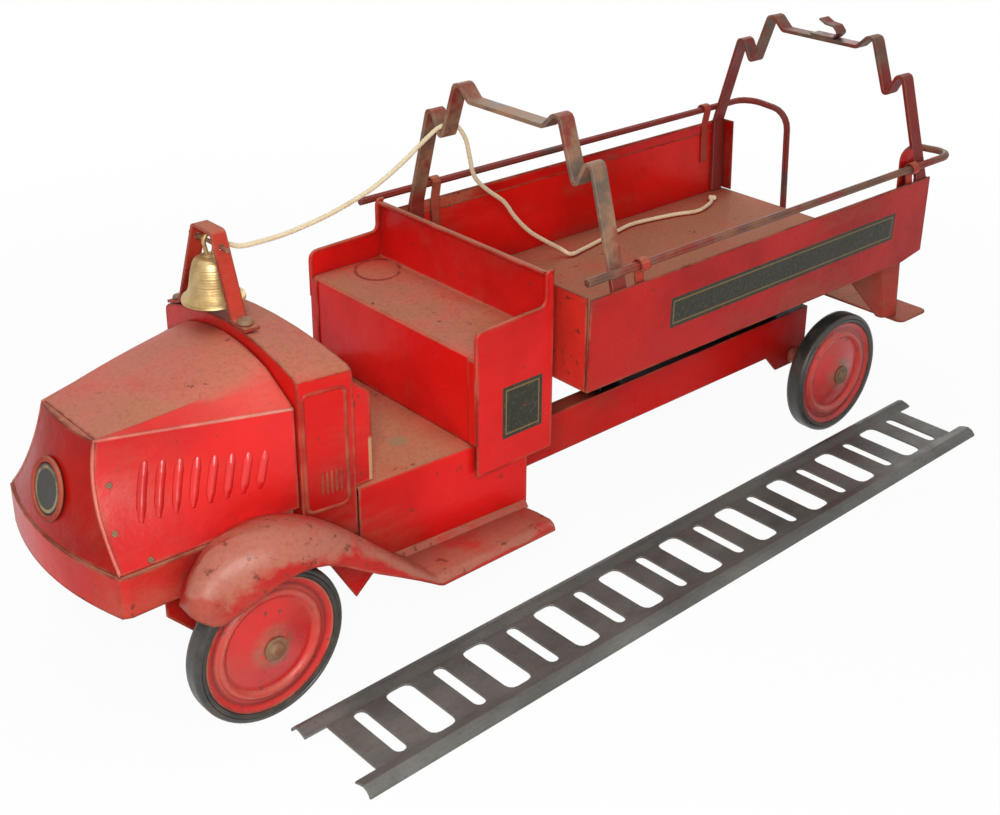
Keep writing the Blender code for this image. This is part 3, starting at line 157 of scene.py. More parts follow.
class Look(Nodes):
    """A material under construction."""

    def __init__(self, name, settings=None):
        self.material = bpy.data.materials.new(name)
        self.material.use_nodes = True
        super().__init__(self.material.node_tree)
        self.shader = self.tree.nodes["Principled BSDF"]
        for key, value in (settings or {}).items():
            self.shader.inputs[key].default_value = value
        coords = self.tree.nodes.new("ShaderNodeTexCoord").outputs
        self.spot = coords["Object"]
        self.facing = coords["Normal"]
        self.rounded = None

    def noise(self, scale, detail=4.0, roughness=0.55, stretch=None, offset=0.0):
        """Noise over the surface, in features per metre."""
        spot = self.spot
        if stretch or offset:
            spot = self.node("ShaderNodeMapping", {"Vector": spot, "Scale": stretch or (1, 1, 1),
                                                   "Location": (offset, offset, offset)})
        return self.node("ShaderNodeTexNoise", {"Vector": spot, "Scale": scale, "Detail": detail,
                                                "Roughness": roughness})

    def ramp(self, value, start, end, low=0.0, high=1.0):
        """A smooth step of the value from start to end."""
        ends = {"From Min": start, "From Max": end, "To Min": low, "To Max": high}
        return self.node("ShaderNodeMapRange", {"Value": value, **ends}, interpolation_type="SMOOTHSTEP")

    def times(self, product, *others):
        """The product of some values."""
        for other in others:
            product = self.math("MULTIPLY", product, other)
        return product

    def mix(self, factor, first, second):
        """From the first colour to the second by the factor."""
        return self.node("ShaderNodeMix", {0: factor, 6: first, 7: second}, 2, data_type="RGBA")

    def blend(self, factor, first, second):
        """From the first number to the second by the factor."""
        return self.node("ShaderNodeMix", {0: factor, 2: first, 3: second}, data_type="FLOAT")

    def place(self, letter):
        """Where the surface lies along one axis of the frame."""
        return self.node("ShaderNodeSeparateXYZ", {"Vector": self.spot}, letter)

    def turned(self, letter):
        """How much the surface faces along one axis of the frame."""
        return self.node("ShaderNodeSeparateXYZ", {"Vector": self.facing}, letter)

    def off(self, letter, middle):
        """How far the surface lies from a middle along one axis of the frame."""
        return self.math("SUBTRACT", self.place(letter), middle)

    def off_spot(self, x, y):
        """How far the surface lies from a spot in truck coordinates, along X and along Y."""
        return self.off("X", x + SHIFT.x), self.off("Y", y + SHIFT.y)

    def length(self, first, second):
        """The length of two legs at a right angle."""
        return self.math("SQRT", self.math("ADD", self.times(first, first), self.times(second, second)))

    def open_air(self, reach):
        """One where nothing stands within the reach of the surface, zero in a closed corner."""
        return self.node("ShaderNodeAmbientOcclusion", {"Distance": reach}, "AO", samples=4)

    def bevel(self, radius):
        """The surface's facing with its edges rounded."""
        return self.node("ShaderNodeBevel", {"Radius": radius}, samples=4)

    def edges(self, radius):
        """One on folds and edges, within about the radius. Edges also catch the light as if rounded."""
        self.rounded = self.bevel(EDGE_ROUND)
        flat = self.node("ShaderNodeNewGeometry", out="Normal")
        alike = self.node("ShaderNodeVectorMath", {0: self.bevel(radius), 1: flat}, "Value",
                          operation="DOT_PRODUCT")
        return self.ramp(alike, *FOLD_ALIKE)

    def inside(self, value, low, high, soft=0.0004):
        """One where the value lies between low and high."""
        above = self.ramp(value, low - soft, low + soft)
        return self.times(above, self.ramp(value, high + soft, high - soft))

    def bumps(self, *layers):
        """Bump from pairs of a height and its depth in metres."""
        normal = self.rounded
        for height, depth in layers:
            inputs = {"Height": height, "Distance": depth, "Strength": 1.0}
            if normal is not None:
                inputs["Normal"] = normal
            normal = self.node("ShaderNodeBump", inputs)
        self.put(self.shader.inputs["Normal"], normal)

    def finish(self, colour, roughness):
        self.put(self.shader.inputs["Base Color"], colour)
        self.put(self.shader.inputs["Roughness"], roughness)
        return self.material


BRIGHT_REDS = (srgb(226, 26, 22), srgb(192, 14, 10))
DIM_REDS = (srgb(198, 22, 15), srgb(160, 14, 9))
DULL_REDS = (srgb(190, 24, 14), srgb(154, 16, 9))
COWL_REDS = (srgb(210, 24, 19), srgb(174, 14, 10))
# A brighter copy of the red: painted light for the far bed side, whose inner face lies in shade
LIT_REDS = (srgb(246, 28, 20), srgb(212, 17, 11))
# Pale pinks for the hood's folded edge: worn paint, and a painted highlight along the fold
FOLD_HIGHLIGHT_REDS = (srgb(252, 150, 134), srgb(238, 92, 80))
DUST = srgb(190, 118, 95)
BROWN_DUST = srgb(180, 120, 90)
DARK_DUST = srgb(140, 70, 58)
FENDER_DUSTS = (srgb(190, 76, 64), srgb(174, 106, 86))
GRIME = srgb(92, 50, 38)
# Near-black red for painted shade in closed corners and creases
CORNER_SHADE = srgb(70, 20, 16)
BARE_EDGE = srgb(158, 110, 84)


def red_paint(name, dust=0.9, wear=0.5, chips=0.4, brown=0.3, film=0.25, veil=0.0, reds=BRIGHT_REDS,
              dusts=(DUST, BROWN_DUST), level=(0.25, 0.92), ragged=0.0, reach=0.05, edge=0.0026,
              shine=0.16, dull=0.75, extra=None):
    """Old red enamel: dust on what faces up, bare edges, chips, grime and painted corner shade. extra
    paints on top of it.

    veil and film are the least and most dust on upright faces, level the range of upward facing over
    which dust begins to lie, ragged how uneven that border is, reach how near a neighbour keeps dust
    off and brings painted shade, edge how wide the worn edges are, and dull the roughness of the dust.
    """
    look = Look(f"{name}_paint", {"Coat Weight": 0.02, "Specular IOR Level": shine})
    broad = look.noise(11, 5)
    patch = look.noise(34, 6, 0.62)
    speck = look.noise(420, 3, 0.7)
    scrape = look.noise(26, 6, 0.7, stretch=(0.25, 1.0, 1.0), offset=7.7)
    clear = look.open_air(reach)
    colour = look.mix(look.ramp(broad, 0.35, 0.68), *reds)
    lift = look.times(look.math("SUBTRACT", patch, 0.5), ragged)
    upward = look.ramp(look.math("ADD", look.turned("Z"), lift), *level)
    upward = look.times(upward, look.ramp(clear, 0.25, 0.70))
    settled = look.times(upward, look.ramp(patch, 0.18, 0.55, 0.62, 1.0))
    soiled = look.ramp(look.times(scrape, broad), 0.24, 0.42, veil, film)
    dusty = look.times(look.math("MAXIMUM", settled, soiled), dust)
    tone = look.mix(look.ramp(patch, 0.62 - 0.5 * brown, 0.80 - 0.5 * brown), *dusts)
    tone = look.mix(look.ramp(speck, 0.40, 0.75, 0.0, 0.4), tone, DARK_DUST)
    colour = look.mix(dusty, colour, tone)
    flake = look.noise(150, 5, 0.65, offset=3.1)
    chipped = look.ramp(flake, 0.70 - 0.10 * chips, 0.74 - 0.10 * chips)
    colour = look.mix(look.times(chipped, 0.75), colour, GRIME)
    # Painted shade: closed corners, found by ambient occlusion, are darkened unevenly towards near-black
    corner = look.times(look.ramp(clear, 0.62, 0.18), look.ramp(scrape, 0.3, 0.6, 0.35, 0.85))
    colour = look.mix(corner, colour, CORNER_SHADE)
    bare = look.ramp(look.noise(55, 5, 0.7, offset=1.7), 0.60 - 0.4 * wear, 0.68 - 0.3 * wear)
    worn = look.times(look.edges(edge), bare)
    metal = look.mix(look.ramp(patch, 0.40, 0.60), BARE_EDGE, GRIME)
    colour = look.mix(look.times(worn, 0.92), colour, metal)
    if extra:
        colour = extra(look, colour, speck)
    rough = look.blend(dusty, look.ramp(broad, 0.3, 0.7, 0.26, 0.40), dull)
    rough = look.blend(look.math("MAXIMUM", worn, corner), rough, 0.8)
    look.bumps((look.noise(60, 4), 0.0006), (flake, 0.00012), (speck, 0.00006))
    return look.finish(colour, rough)


STRAP_RED = srgb(138, 30, 24)
STRAP_SPECK = srgb(70, 50, 42)
STRAP_EDGE = srgb(176, 152, 128)
STRAP_RED_FADE = (0.012, -0.004)


def worn_strap(name, red_left, metal, low_red=0.0):
    """Steel strap or rod that has lost most of its red paint, and keeps it below the height low_red."""
    look = Look(name, {"Metallic": 0.05, "Specular IOR Level": 0.3})
    patch = look.noise(45, 6, 0.65)
    speck = look.noise(500, 3, 0.7)
    colour = look.mix(look.ramp(patch, 0.35, 0.65), *metal)
    left = look.ramp(look.noise(24, 5, 0.6, offset=2.3), 0.62 - 0.4 * red_left, 0.78 - 0.4 * red_left)
    low = look.ramp(look.place("Z"), *(low_red + fade for fade in STRAP_RED_FADE))
    left = look.math("MAXIMUM", left, low)
    colour = look.mix(look.times(left, 0.88), colour, STRAP_RED)
    colour = look.mix(look.ramp(speck, 0.55, 0.75, 0.0, 0.5), colour, STRAP_SPECK)
    colour = look.mix(look.times(look.edges(0.0009), 0.55), colour, STRAP_EDGE)
    look.bumps((patch, 0.0005), (speck, 0.0001))
    return look.finish(colour, look.ramp(patch, 0.3, 0.7, 0.42, 0.65))


def bare_steel(name):
    """Grey-brown stamped steel with stains and a dull shine."""
    look = Look(name, {"Metallic": 0.2})
    broad = look.noise(22, 6, 0.6, stretch=(0.5, 1.0, 1.0))
    speck = look.noise(520, 3, 0.7)
    stain = look.noise(60, 5, 0.65, offset=4.2)
    colour = look.mix(look.ramp(broad, 0.32, 0.68), srgb(116, 114, 108), srgb(84, 83, 78))
    colour = look.mix(look.ramp(stain, 0.55, 0.74, 0.0, 0.5), colour, srgb(100, 97, 94))
    colour = look.mix(look.ramp(speck, 0.5, 0.8, 0.0, 0.5), colour, srgb(52, 48, 46))
    colour = look.mix(look.times(look.edges(0.0008), 0.5), colour, srgb(150, 146, 140))
    look.bumps((broad, 0.0006), (speck, 0.00008))
    return look.finish(colour, look.ramp(stain, 0.3, 0.7, 0.38, 0.58))


def brass(name):
    """Old turned brass: fine rings from the tool, dull patches and a soft shine."""
    look = Look(name, {"Metallic": 0.9})
    rings = look.node("ShaderNodeTexNoise", {"W": look.place("Z"), "Scale": 900, "Detail": 2.0},
                      noise_dimensions="1D")
    patch = look.noise(70, 5, 0.6)
    speck = look.noise(600, 3, 0.7)
    colour = look.mix(look.ramp(patch, 0.3, 0.7), srgb(200, 174, 124), srgb(166, 138, 90))
    colour = look.mix(look.ramp(speck, 0.6, 0.8, 0.0, 0.55), colour, srgb(120, 96, 62))
    look.bumps((rings, 0.00025), (speck, 0.00006))
    return look.finish(colour, look.ramp(patch, 0.3, 0.7, 0.40, 0.58))


def dark_coat(name, grain, tones, fleck, flecked, depths, rough, extra=None):
    """Black rubber or paint, greyed by age and flecked with dust. extra paints on top of it.

    flecked is where the flecks begin and how strong they are.
    """
    look = Look(name)
    patch = look.noise(60, 5, 0.65)
    speck = look.noise(grain, 3, 0.7)
    colour = look.mix(look.ramp(patch, 0.35, 0.7), *tones)
    colour = look.mix(look.ramp(speck, flecked[0], 0.8, 0.0, flecked[1]), colour, fleck)
    if extra:
        colour = extra(look, colour, speck)
    look.bumps((patch, depths[0]), (speck, depths[1]))
    return look.finish(colour, look.ramp(patch, 0.3, 0.7, *rough))


def black_paint(name, extra=None):
    """Dull black paint with dust. extra paints on top of it."""
    return dark_coat(name, 600, (srgb(34, 32, 30), srgb(66, 60, 52)), srgb(112, 96, 74), (0.6, 0.4),
                     (0.0003, 0.0001), (0.45, 0.7), extra)


def cotton(name):
    """Cream cotton rope, with fibres and a little soil."""
    look = Look(name, {"Sheen Weight": 0.3})
    fibre = look.noise(1500, 4, 0.7)
    soil = look.noise(50, 5, 0.6)
    colour = look.mix(look.ramp(fibre, 0.3, 0.7), srgb(255, 246, 212), srgb(240, 212, 160))
    colour = look.mix(look.ramp(soil, 0.55, 0.78, 0.0, 0.4), colour, srgb(206, 166, 116))
    look.bumps((fibre, 0.0003))
    return look.finish(colour, look.ramp(soil, 0.3, 0.7, 0.85, 0.95))


# Marks painted on top of a look
BAND_X = (-0.2925, -0.0635)
BAND_Z = (0.1408, 0.1606)
LABEL_X = (0.0258, 0.0558)
LABEL_Z = (0.1020, 0.1345)
LINE_INSET = 0.0022
LINE_WIDTH = 0.0008
BAND_BLACKS = (srgb(50, 50, 40), srgb(88, 80, 62))
LINE_GOLD = srgb(150, 124, 72)


def outlined_panel(x_range, z_range):
    """A dark panel with a thin gold line inside its border, on the outer face of an upright sheet."""
    low_x, high_x = (x + SHIFT.x for x in x_range)
    low_z, high_z = z_range

    def frame_mask(look, inset):
        across = look.inside(look.place("X"), low_x + inset, high_x - inset)
        upright = look.inside(look.place("Z"), low_z + inset, high_z - inset)
        return look.times(across, upright)

    def paint(look, colour, speck):
        outward = look.times(look.turned("Y"), look.off("Y", SHIFT.y))
        outer = look.ramp(outward, 0.02, 0.03)
        rubbed = look.ramp(look.noise(90, 5, 0.7, offset=5.3), 0.66, 0.72, 1.0, 0.25)
        whole = look.times(frame_mask(look, 0.0), outer, rubbed)
        line = look.math("SUBTRACT", *(frame_mask(look, LINE_INSET + wide) for wide in (0.0, LINE_WIDTH)))
        dark = look.mix(look.ramp(speck, 0.45, 0.8), *BAND_BLACKS)
        dark = look.mix(look.times(line, 0.8), dark, LINE_GOLD)
        return look.mix(whole, colour, dark)

    return paint


STAIN_MIDDLE = (0.0375, -0.0600)
STAIN_LONG, STAIN_SHORT = 0.0172, 0.0140
STAIN_TURN = math.radians(53)
STAIN_WIDTH, STAIN_SOFT = 0.075, 0.05
STAIN_RED = srgb(122, 34, 28)


def loop_stain(look, colour, speck):
    """The dark oval loop that something wet left on a flat top."""
    east, north = look.off_spot(*STAIN_MIDDLE)
    c, s = math.cos(STAIN_TURN), math.sin(STAIN_TURN)
    along = look.math("ADD", look.times(east, c / STAIN_LONG), look.times(north, s / STAIN_LONG))
    over = look.math("SUBTRACT", look.times(east, s / STAIN_SHORT), look.times(north, c / STAIN_SHORT))
    ring = look.inside(look.length(along, over), 1 - STAIN_WIDTH, 1 + STAIN_WIDTH, STAIN_SOFT)
    broken = look.ramp(look.noise(70, 4, 0.6, offset=9.1), 0.36, 0.52)
    upward = look.ramp(look.turned("Z"), 0.5, 0.9)
    return look.mix(look.times(ring, broken, upward, 0.8), colour, STAIN_RED)


MEDAL_LOW, MEDAL_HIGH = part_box("medallion_disc")
MEDAL_RING, MEDAL_SOFT = (0.80, 0.92), 0.03
MEDAL_GOLD = srgb(168, 146, 98)


def gold_ring(look, colour, speck):
    """A thin worn gold line inside the border of the medallion."""
    middle, half = (MEDAL_LOW + MEDAL_HIGH) / 2, (MEDAL_HIGH - MEDAL_LOW) / 2
    across = look.math("DIVIDE", look.off("Y", middle.y), half.y)
    upright = look.math("DIVIDE", look.off("Z", middle.z), half.z)
    ring = look.inside(look.length(across, upright), *MEDAL_RING, MEDAL_SOFT)
    kept = look.ramp(look.noise(160, 4, 0.6, offset=3.3), 0.34, 0.58, 0.2, 0.9)
    return look.mix(look.times(ring, kept), colour, MEDAL_GOLD)


# Near-black for painted shade under the bed and on the floors' undersides
UNDERSIDE_SHADE = srgb(26, 16, 14)
SHADE_X = (-0.040, -0.060)


def shaded_top(look, colour, speck):
    """Painted shadow: the frame's top under the bed, darkened to near black."""
    under = look.ramp(look.place("X"), *(x + SHIFT.x for x in SHADE_X))
    upward = look.ramp(look.turned("Z"), 0.3, 0.7)
    return look.mix(look.times(under, upward), colour, UNDERSIDE_SHADE)


def painted_underside_shade(look, colour, speck):
    """Painted shade: a floor's underside, darkened to near black."""
    return look.mix(look.ramp(look.turned("Z"), -0.3, -0.7), colour, UNDERSIDE_SHADE)


JAMB_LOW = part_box("door_jamb_left")[0]
JAMB_BARE_WIDTH, JAMB_BARE_HEIGHT = 0.0020, 0.0270
JAMB_METAL = srgb(196, 156, 116)


def bare_corner(look, colour, speck):
    """The low rear corner of each door jamb, rubbed to the metal."""
    low = look.ramp(look.place("Z"), *(JAMB_LOW.z + part * JAMB_BARE_HEIGHT for part in (1.0, 0.9)))
    rear = look.ramp(look.place("X"), *(JAMB_LOW.x + part * JAMB_BARE_WIDTH for part in (1.2, 1.0)))
    return look.mix(look.times(low, rear, 0.85), colour, JAMB_METAL)


PATCH_MIDDLE = (0.1024, 0.0427)
PATCH_R = (0.0066, 0.0040)
PATCH_UNEVEN = 0.006
PATCH_GREY = srgb(146, 128, 96)


def floor_marks(look, colour, speck):
    """A grey patch on the cab's floor where the paint has gone, and painted shade on the floors'
    undersides.
    """
    east, north = look.off_spot(*PATCH_MIDDLE)
    uneven = look.times(look.math("SUBTRACT", look.noise(240, 4, 0.6, offset=8.3), 0.5), PATCH_UNEVEN)
    away = look.math("ADD", look.length(east, north), uneven)
    above = look.ramp(look.turned("Z"), 0.5, 0.8)
    gone = look.times(look.ramp(away, *PATCH_R), above, 0.75)
    return painted_underside_shade(look, look.mix(gone, colour, PATCH_GREY), speck)


AXLE_X = {"front": 0.2166, "rear": -0.2578}
WHEEL_R = 0.0440
HUB_DIRT_R = (0.0150, 0.0085)
RING_DUST_R, RING_DUST_SOFT = (0.0274, 0.0306), 0.0016
RIM_SHADE_R, RIM_SHADE_SOFT = (0.0326, 0.0346), 0.0010
RING_DUST = srgb(196, 84, 70)


def wheel_wear(look, colour, speck):
    """Rusty dirt round a wheel's hub, dust on its pressed ring, and painted shade in the crease outside
    that.
    """
    up = look.off("Z", WHEEL_R)
    radius = look.math("MINIMUM", *(look.length(look.off("X", x + SHIFT.x), up) for x in AXLE_X.values()))
    uneven = look.noise(75, 5, 0.65, offset=6.4)
    hub = look.times(look.ramp(radius, *HUB_DIRT_R), look.ramp(uneven, 0.25, 0.6))
    ring = look.times(look.inside(radius, *RING_DUST_R, RING_DUST_SOFT), look.ramp(uneven, 0.30, 0.62))
    # Painted shade in the crease outside the ring
    crease = look.times(look.inside(radius, *RIM_SHADE_R, RIM_SHADE_SOFT), 0.6)
    colour = look.mix(look.times(ring, 0.6), colour, look.mix(speck, DUST, RING_DUST))
    colour = look.mix(look.times(hub, 0.85), colour, look.mix(speck, BROWN_DUST, GRIME))
    return look.mix(crease, colour, CORNER_SHADE)


# The looks themselves
BED_BAND = outlined_panel(BAND_X, BAND_Z)
PAINT = red_paint("body", wear=0.8)
NOSE_PAINT = red_paint("nose", dust=0.7, wear=0.8, reds=DULL_REDS, shine=0.10)
CHIN_PAINT = red_paint("chin", dust=0.8, wear=0.8, film=0.5, veil=0.08)
HOOD_PAINT = red_paint("hood", dust=0.85, wear=0.6, film=0.18, level=(0.72, 0.98), shine=0.35, dull=0.6)
LOUVRE_PAINT = red_paint("louvre", dust=0.1, wear=0.0, chips=0.0, film=0.1, reach=0.0004, edge=0.0002,
                         shine=0.8)
# Painted highlight: the hood's folded edge is coloured pale pink, beside its real wear
FOLD_HIGHLIGHT_PAINT = red_paint("fold", dust=0.2, wear=1.2, chips=0.2, reds=FOLD_HIGHLIGHT_REDS, shine=0.6)
COWL_PAINT = red_paint("cowl", wear=0.9, chips=0.3, film=0.35, reds=COWL_REDS, level=(0.55, 0.95),
                       reach=0.02)
JAMB_PAINT = red_paint("jamb", wear=1.3, chips=0.6, extra=bare_corner)
SEAT_FLANGE_PAINT = red_paint("seat_flange", wear=1.3, chips=0.6)
FLOOR_PAINT = red_paint("floor", dust=1.0, wear=0.7, chips=0.5, brown=0.9, extra=floor_marks)
SEAT_TOP_PAINT = red_paint("seat_top", dust=0.95, chips=0.5, brown=0.35, extra=loop_stain)
FENDER_PAINT = red_paint("fender", dust=0.95, wear=0.9, chips=0.9, brown=0.6, film=0.6, veil=0.05,
                         reds=DIM_REDS, dusts=FENDER_DUSTS, level=(0.22, 0.50), ragged=1.3, shine=0.25,
                         dull=0.42)
BRACKET_PAINT = red_paint("bracket", dust=0.8, wear=0.9, chips=0.7, brown=0.6, film=0.8, veil=0.28,
                          reds=DIM_REDS, edge=0.0016)
WHEEL_PAINT = red_paint("wheel", dust=0.7, wear=0.9, chips=0.9, film=0.45, veil=0.04, shine=0.6, dull=0.33,
                        extra=wheel_wear)
# The frame's top under the bed gets painted shadow
FRAME_PAINT = red_paint("frame", dust=0.6, wear=0.6, chips=0.5, brown=0.7, extra=shaded_top)
STEP_PAINT = red_paint("step", dust=0.95, wear=0.8, chips=0.8, film=0.8, veil=0.3, reds=DIM_REDS,
                       reach=0.012)
BED_PAINT = red_paint("bed_side", wear=0.9, film=0.35, reds=DIM_REDS, extra=BED_BAND)
# Painted light: the far bed side takes the brighter copy of the red
FAR_BED_PAINT = red_paint("far_bed_side", wear=0.9, film=0.3, reds=LIT_REDS, extra=BED_BAND)
BED_FRONT_PAINT = red_paint("bed_front", wear=0.9, chips=0.8, brown=0.6, film=0.6, veil=0.14)
HEM_PAINT = red_paint("hem", dust=1.0, wear=0.9, chips=0.7, brown=0.8, film=0.95)
SEAT_PAINT = red_paint("seat_side", wear=0.9, film=0.2, extra=outlined_panel(LABEL_X, LABEL_Z))
RACK_METAL = worn_strap("rack_metal", 0.30, (srgb(106, 92, 80), srgb(168, 124, 96)), low_red=0.186)
REAR_RACK_METAL = worn_strap("rear_rack_metal", 0.55, (srgb(90, 68, 56), srgb(136, 104, 84)), low_red=0.20)
RAIL_METAL = worn_strap("rail_metal", 0.30, (srgb(100, 66, 52), srgb(142, 92, 70)))
FAR_RAIL_METAL = worn_strap("far_rail_metal", 0.75, (srgb(74, 52, 46), srgb(120, 72, 58)))
LADDER_METAL = bare_steel("ladder_metal")
BOLT_METAL = worn_strap("bolt_metal", 0.10, (srgb(112, 84, 62), srgb(150, 116, 84)))
BELL_METAL = brass("bell_metal")
TYRE = dark_coat("tyre", 700, (srgb(44, 41, 38), srgb(76, 69, 62)), srgb(112, 104, 96), (0.58, 0.5),
                 (0.0004, 0.00012), (0.27, 0.5))
BLACK = black_paint("black")
MEDAL = black_paint("medal", gold_ring)
ROPE = cotton("rope")

# Each look with the starts of the names of its solids, where the longest start that fits a name counts
NODE_LOOKS = (
    (PAINT, ""),
    (NOSE_PAINT, "radiator_front", "medallion_ring"),
    (CHIN_PAINT, "chin_skirt"),
    (HOOD_PAINT, "hood_shell"),
    (COWL_PAINT, "cowl"),
    (JAMB_PAINT, "door_jamb"),
    (FLOOR_PAINT, "bed_floor", "cab_base"),
    (SEAT_TOP_PAINT, "seat_pan"),
    (SEAT_PAINT, "seat_side"),
    (FENDER_PAINT, "fender_left", "fender_right"),
    (BRACKET_PAINT, "rail_clip", "bell_bracket"),
    (WHEEL_PAINT, "wheel_disc"),
    (FRAME_PAINT, "chassis_frame"),
    (STEP_PAINT, "rear_step", "step_hanger"),
    (BED_PAINT, "bed_side_left"),
    (FAR_BED_PAINT, "bed_side_right"),
    (BED_FRONT_PAINT, "bed_front_panel"),
    (RACK_METAL, "ladder_rack_front"),
    (REAR_RACK_METAL, "ladder_rack_rear", "rack_hook"),
    (RAIL_METAL, "handrail_left"),
    (FAR_RAIL_METAL, "handrail_right"),
    (LADDER_METAL, "ladder"),
    (BOLT_METAL, "bell_bolt", "bell_pin", "clapper", "front_axle", "rear_axle"),
    (BELL_METAL, "bell"),
    (TYRE, "tyre"),
    (BLACK, "bed_bolster", "cab_bolster"),
    (MEDAL, "medallion_disc"),
    (ROPE, "bell_rope", "rope_knot"),
)
SHARP_FOLD = math.radians(24)
SAME_POINT = 1e-6


def smooth_shading():
    """A node group that joins a solid's facets and shades it smooth, but for its sharp folds."""
    group = Nodes(bpy.data.node_groups.new("smooth_shading", "GeometryNodeTree"))
    for way in ("INPUT", "OUTPUT"):
        group.tree.interface.new_socket("Geometry", in_out=way, socket_type="NodeSocketGeometry")
    merged = group.node("GeometryNodeMergeByDistance", {"Geometry": group.node("NodeGroupInput"),
                                                        "Distance": SAME_POINT})
    smooth = group.node("GeometryNodeSetShadeSmooth", {"Geometry": merged})
    angle = group.node("GeometryNodeInputMeshEdgeAngle", out="Unsigned Angle")
    wide = group.math("GREATER_THAN", angle, SHARP_FOLD)
    sharp = group.node("GeometryNodeSetShadeSmooth", {"Geometry": smooth, "Selection": wide,
                                                      "Shade Smooth": False}, domain="EDGE")
    group.node("NodeGroupOutput", {0: sharp})
    return group.tree


def dress_nodes():
    """Give every solid its look and a smooth shading."""
    smooth = smooth_shading()
    for name, node in NODES.items():
        fits = {start: look for look, *starts in NODE_LOOKS for start in starts if name.startswith(start)}
        node.data.materials.clear()
        node.data.materials.append(fits[max(fits, key=len)])
        node.modifiers.new("smooth_shading", "NODES").node_group = smooth


dress_nodes()


# Shapes: each is a list of points and a list of faces
def add_piece(name, shape, look, angle=60, body="truck", replaces=()):
    """A new piece, smooth but for edges sharper than the angle.

    It rides on a body, takes the look it is given, and may replace solids.
    """
    points, faces = shape
    mesh = bpy.data.meshes.new(name)
    mesh.from_pydata([tuple(p) for p in points], [], faces)
    cage = bmesh.new()
    cage.from_mesh(mesh)
    bmesh.ops.remove_doubles(cage, verts=cage.verts, dist=1e-7)
    bmesh.ops.recalc_face_normals(cage, faces=cage.faces)
    cage.to_mesh(mesh)
    cage.free()
    mesh.shade_smooth()
    mesh.set_sharp_from_angle(angle=math.radians(angle))
    mesh.materials.append(look)
    made = new_object(name, mesh)
    if body:
        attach(made, body)
    if replaces:
        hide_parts(*replaces)
    return made


def gather(shapes):
    """Several shapes as one."""
    points, faces = [], []
    for some_points, some_faces in shapes:
        start = len(points)
        points += some_points
        faces += [tuple(k + start for k in face) for face in some_faces]
    return points, faces


def loft(rows, closed=False):
    """A skin over rings of points, which closes on itself or has a cap at each end."""
    count, width = len(rows), len(rows[0])
    faces = []
    for i in range(count if closed else count - 1):
        near, far = i * width, (i + 1) % count * width
        for j in range(width):
            k = (j + 1) % width
            faces.append((near + j, near + k, far + k, far + j))
    if not closed:
        faces += [tuple(range(width)), tuple(range((count - 1) * width, count * width))]
    return [point for row in rows for point in row], faces


def full_turn(steps):
    """Angles once round a circle."""
    return [2 * math.pi * k / steps for k in range(steps)]


def circle(spot, facing, radius, lift, turns):
    """Points round a spot, lifted off it the way it faces."""
    side = facing.orthogonal().normalized()
    other = facing.cross(side)
    return [spot + (side * math.cos(t) + other * math.sin(t)) * radius + facing * lift for t in turns]


def lathe(profile, centre, along, steps=72):
    """A closed profile of (radius, height) points turned about a line through the centre."""
    along = Vector(along).normalized()
    side = along.orthogonal().normalized()
    other = along.cross(side)
    rows = []
    for turn in full_turn(steps):
        out = side * math.cos(turn) + other * math.sin(turn)
        rows.append([centre + out * radius + along * height for radius, height in profile])
    return loft(rows, closed=True)


def smooth_line(points, per_span):
    """A smooth curve through the points, with so many steps to each span."""
    points = np.array(points, float)
    padded = np.vstack([2 * points[0] - points[1], points, 2 * points[-1] - points[-2]])
    fine = []
    for a, b, c, d in zip(padded, padded[1:], padded[2:], padded[3:]):
        for t in np.linspace(0, 1, per_span, endpoint=False):
            fine.append(0.5 * (2 * b + (c - a) * t + (2 * a - 5 * b + 4 * c - d) * t ** 2
                               + (3 * b - a - 3 * c + d) * t ** 3))
    fine.append(points[-1])
    return np.array(fine)


def spaced(points, step):
    """The same line with points at an even step."""
    along = np.concatenate([[0], np.cumsum(np.linalg.norm(np.diff(points, axis=0), axis=1))])
    spots = np.linspace(0, along[-1], int(round(along[-1] / step)) + 1)
    return np.stack([np.interp(spots, along, points[:, k]) for k in range(3)], axis=1)


def steps_along(points, closed):
    """The step past each point of a line, from the point before it to the point after."""
    padded = [points[-1], *points, points[0]] if closed else [points[0], *points, points[-1]]
    return [after - before for before, after in zip(padded, padded[2:])]


def tube(points, outline, closed=False):
    """A tube along a line. outline(i) gives the (across, up) points of the section at point i."""
    points = [Vector(p) for p in points]
    ahead = [step.normalized() for step in steps_along(points, closed)]
    across = ahead[0].orthogonal().normalized()
    rows = []
    for i, (point, along) in enumerate(zip(points, ahead)):
        across = (across - along * across.dot(along)).normalized()
        up = along.cross(across)
        rows.append([point + across * a + up * b for a, b in outline(i)])
    return loft(rows, closed)


def round_section(radius, steps=12):
    """A plain round section for a tube."""
    return [(radius * math.cos(t), radius * math.sin(t)) for t in full_turn(steps)]


# Wheels
DISC_R = 0.0380
DISC_T = 0.0013
DISC_BACK_Y = -0.0054
TYRE_R = DISC_R + 0.0004
TYRE_HALF_W = 0.0063
WHEEL_MID_Y = 0.0795
BORE_R = 0.0033
HUB_R = 0.0058
HUB_IN = -0.0351
HUB_OUT = 0.0082

# The disc's outer face, as (radius, height) points from its bore to its rim
DISC_FACE = (
    (BORE_R, HUB_OUT), (HUB_R + 0.0012, HUB_OUT), (HUB_R + 0.0030, 0.0076), (HUB_R + 0.0080, 0.0060),
    (DISC_R - 0.0150, 0.0036), (DISC_R - 0.0128, 0.0031), (DISC_R - 0.0116, 0.0037),
    (DISC_R - 0.0101, 0.0050), (DISC_R - 0.0087, 0.0053), (DISC_R - 0.0074, 0.0047),
    (DISC_R - 0.0062, 0.0035), (DISC_R - 0.0040, 0.0036), (DISC_R - 0.0016, 0.0046), (DISC_R, 0.0054),
)
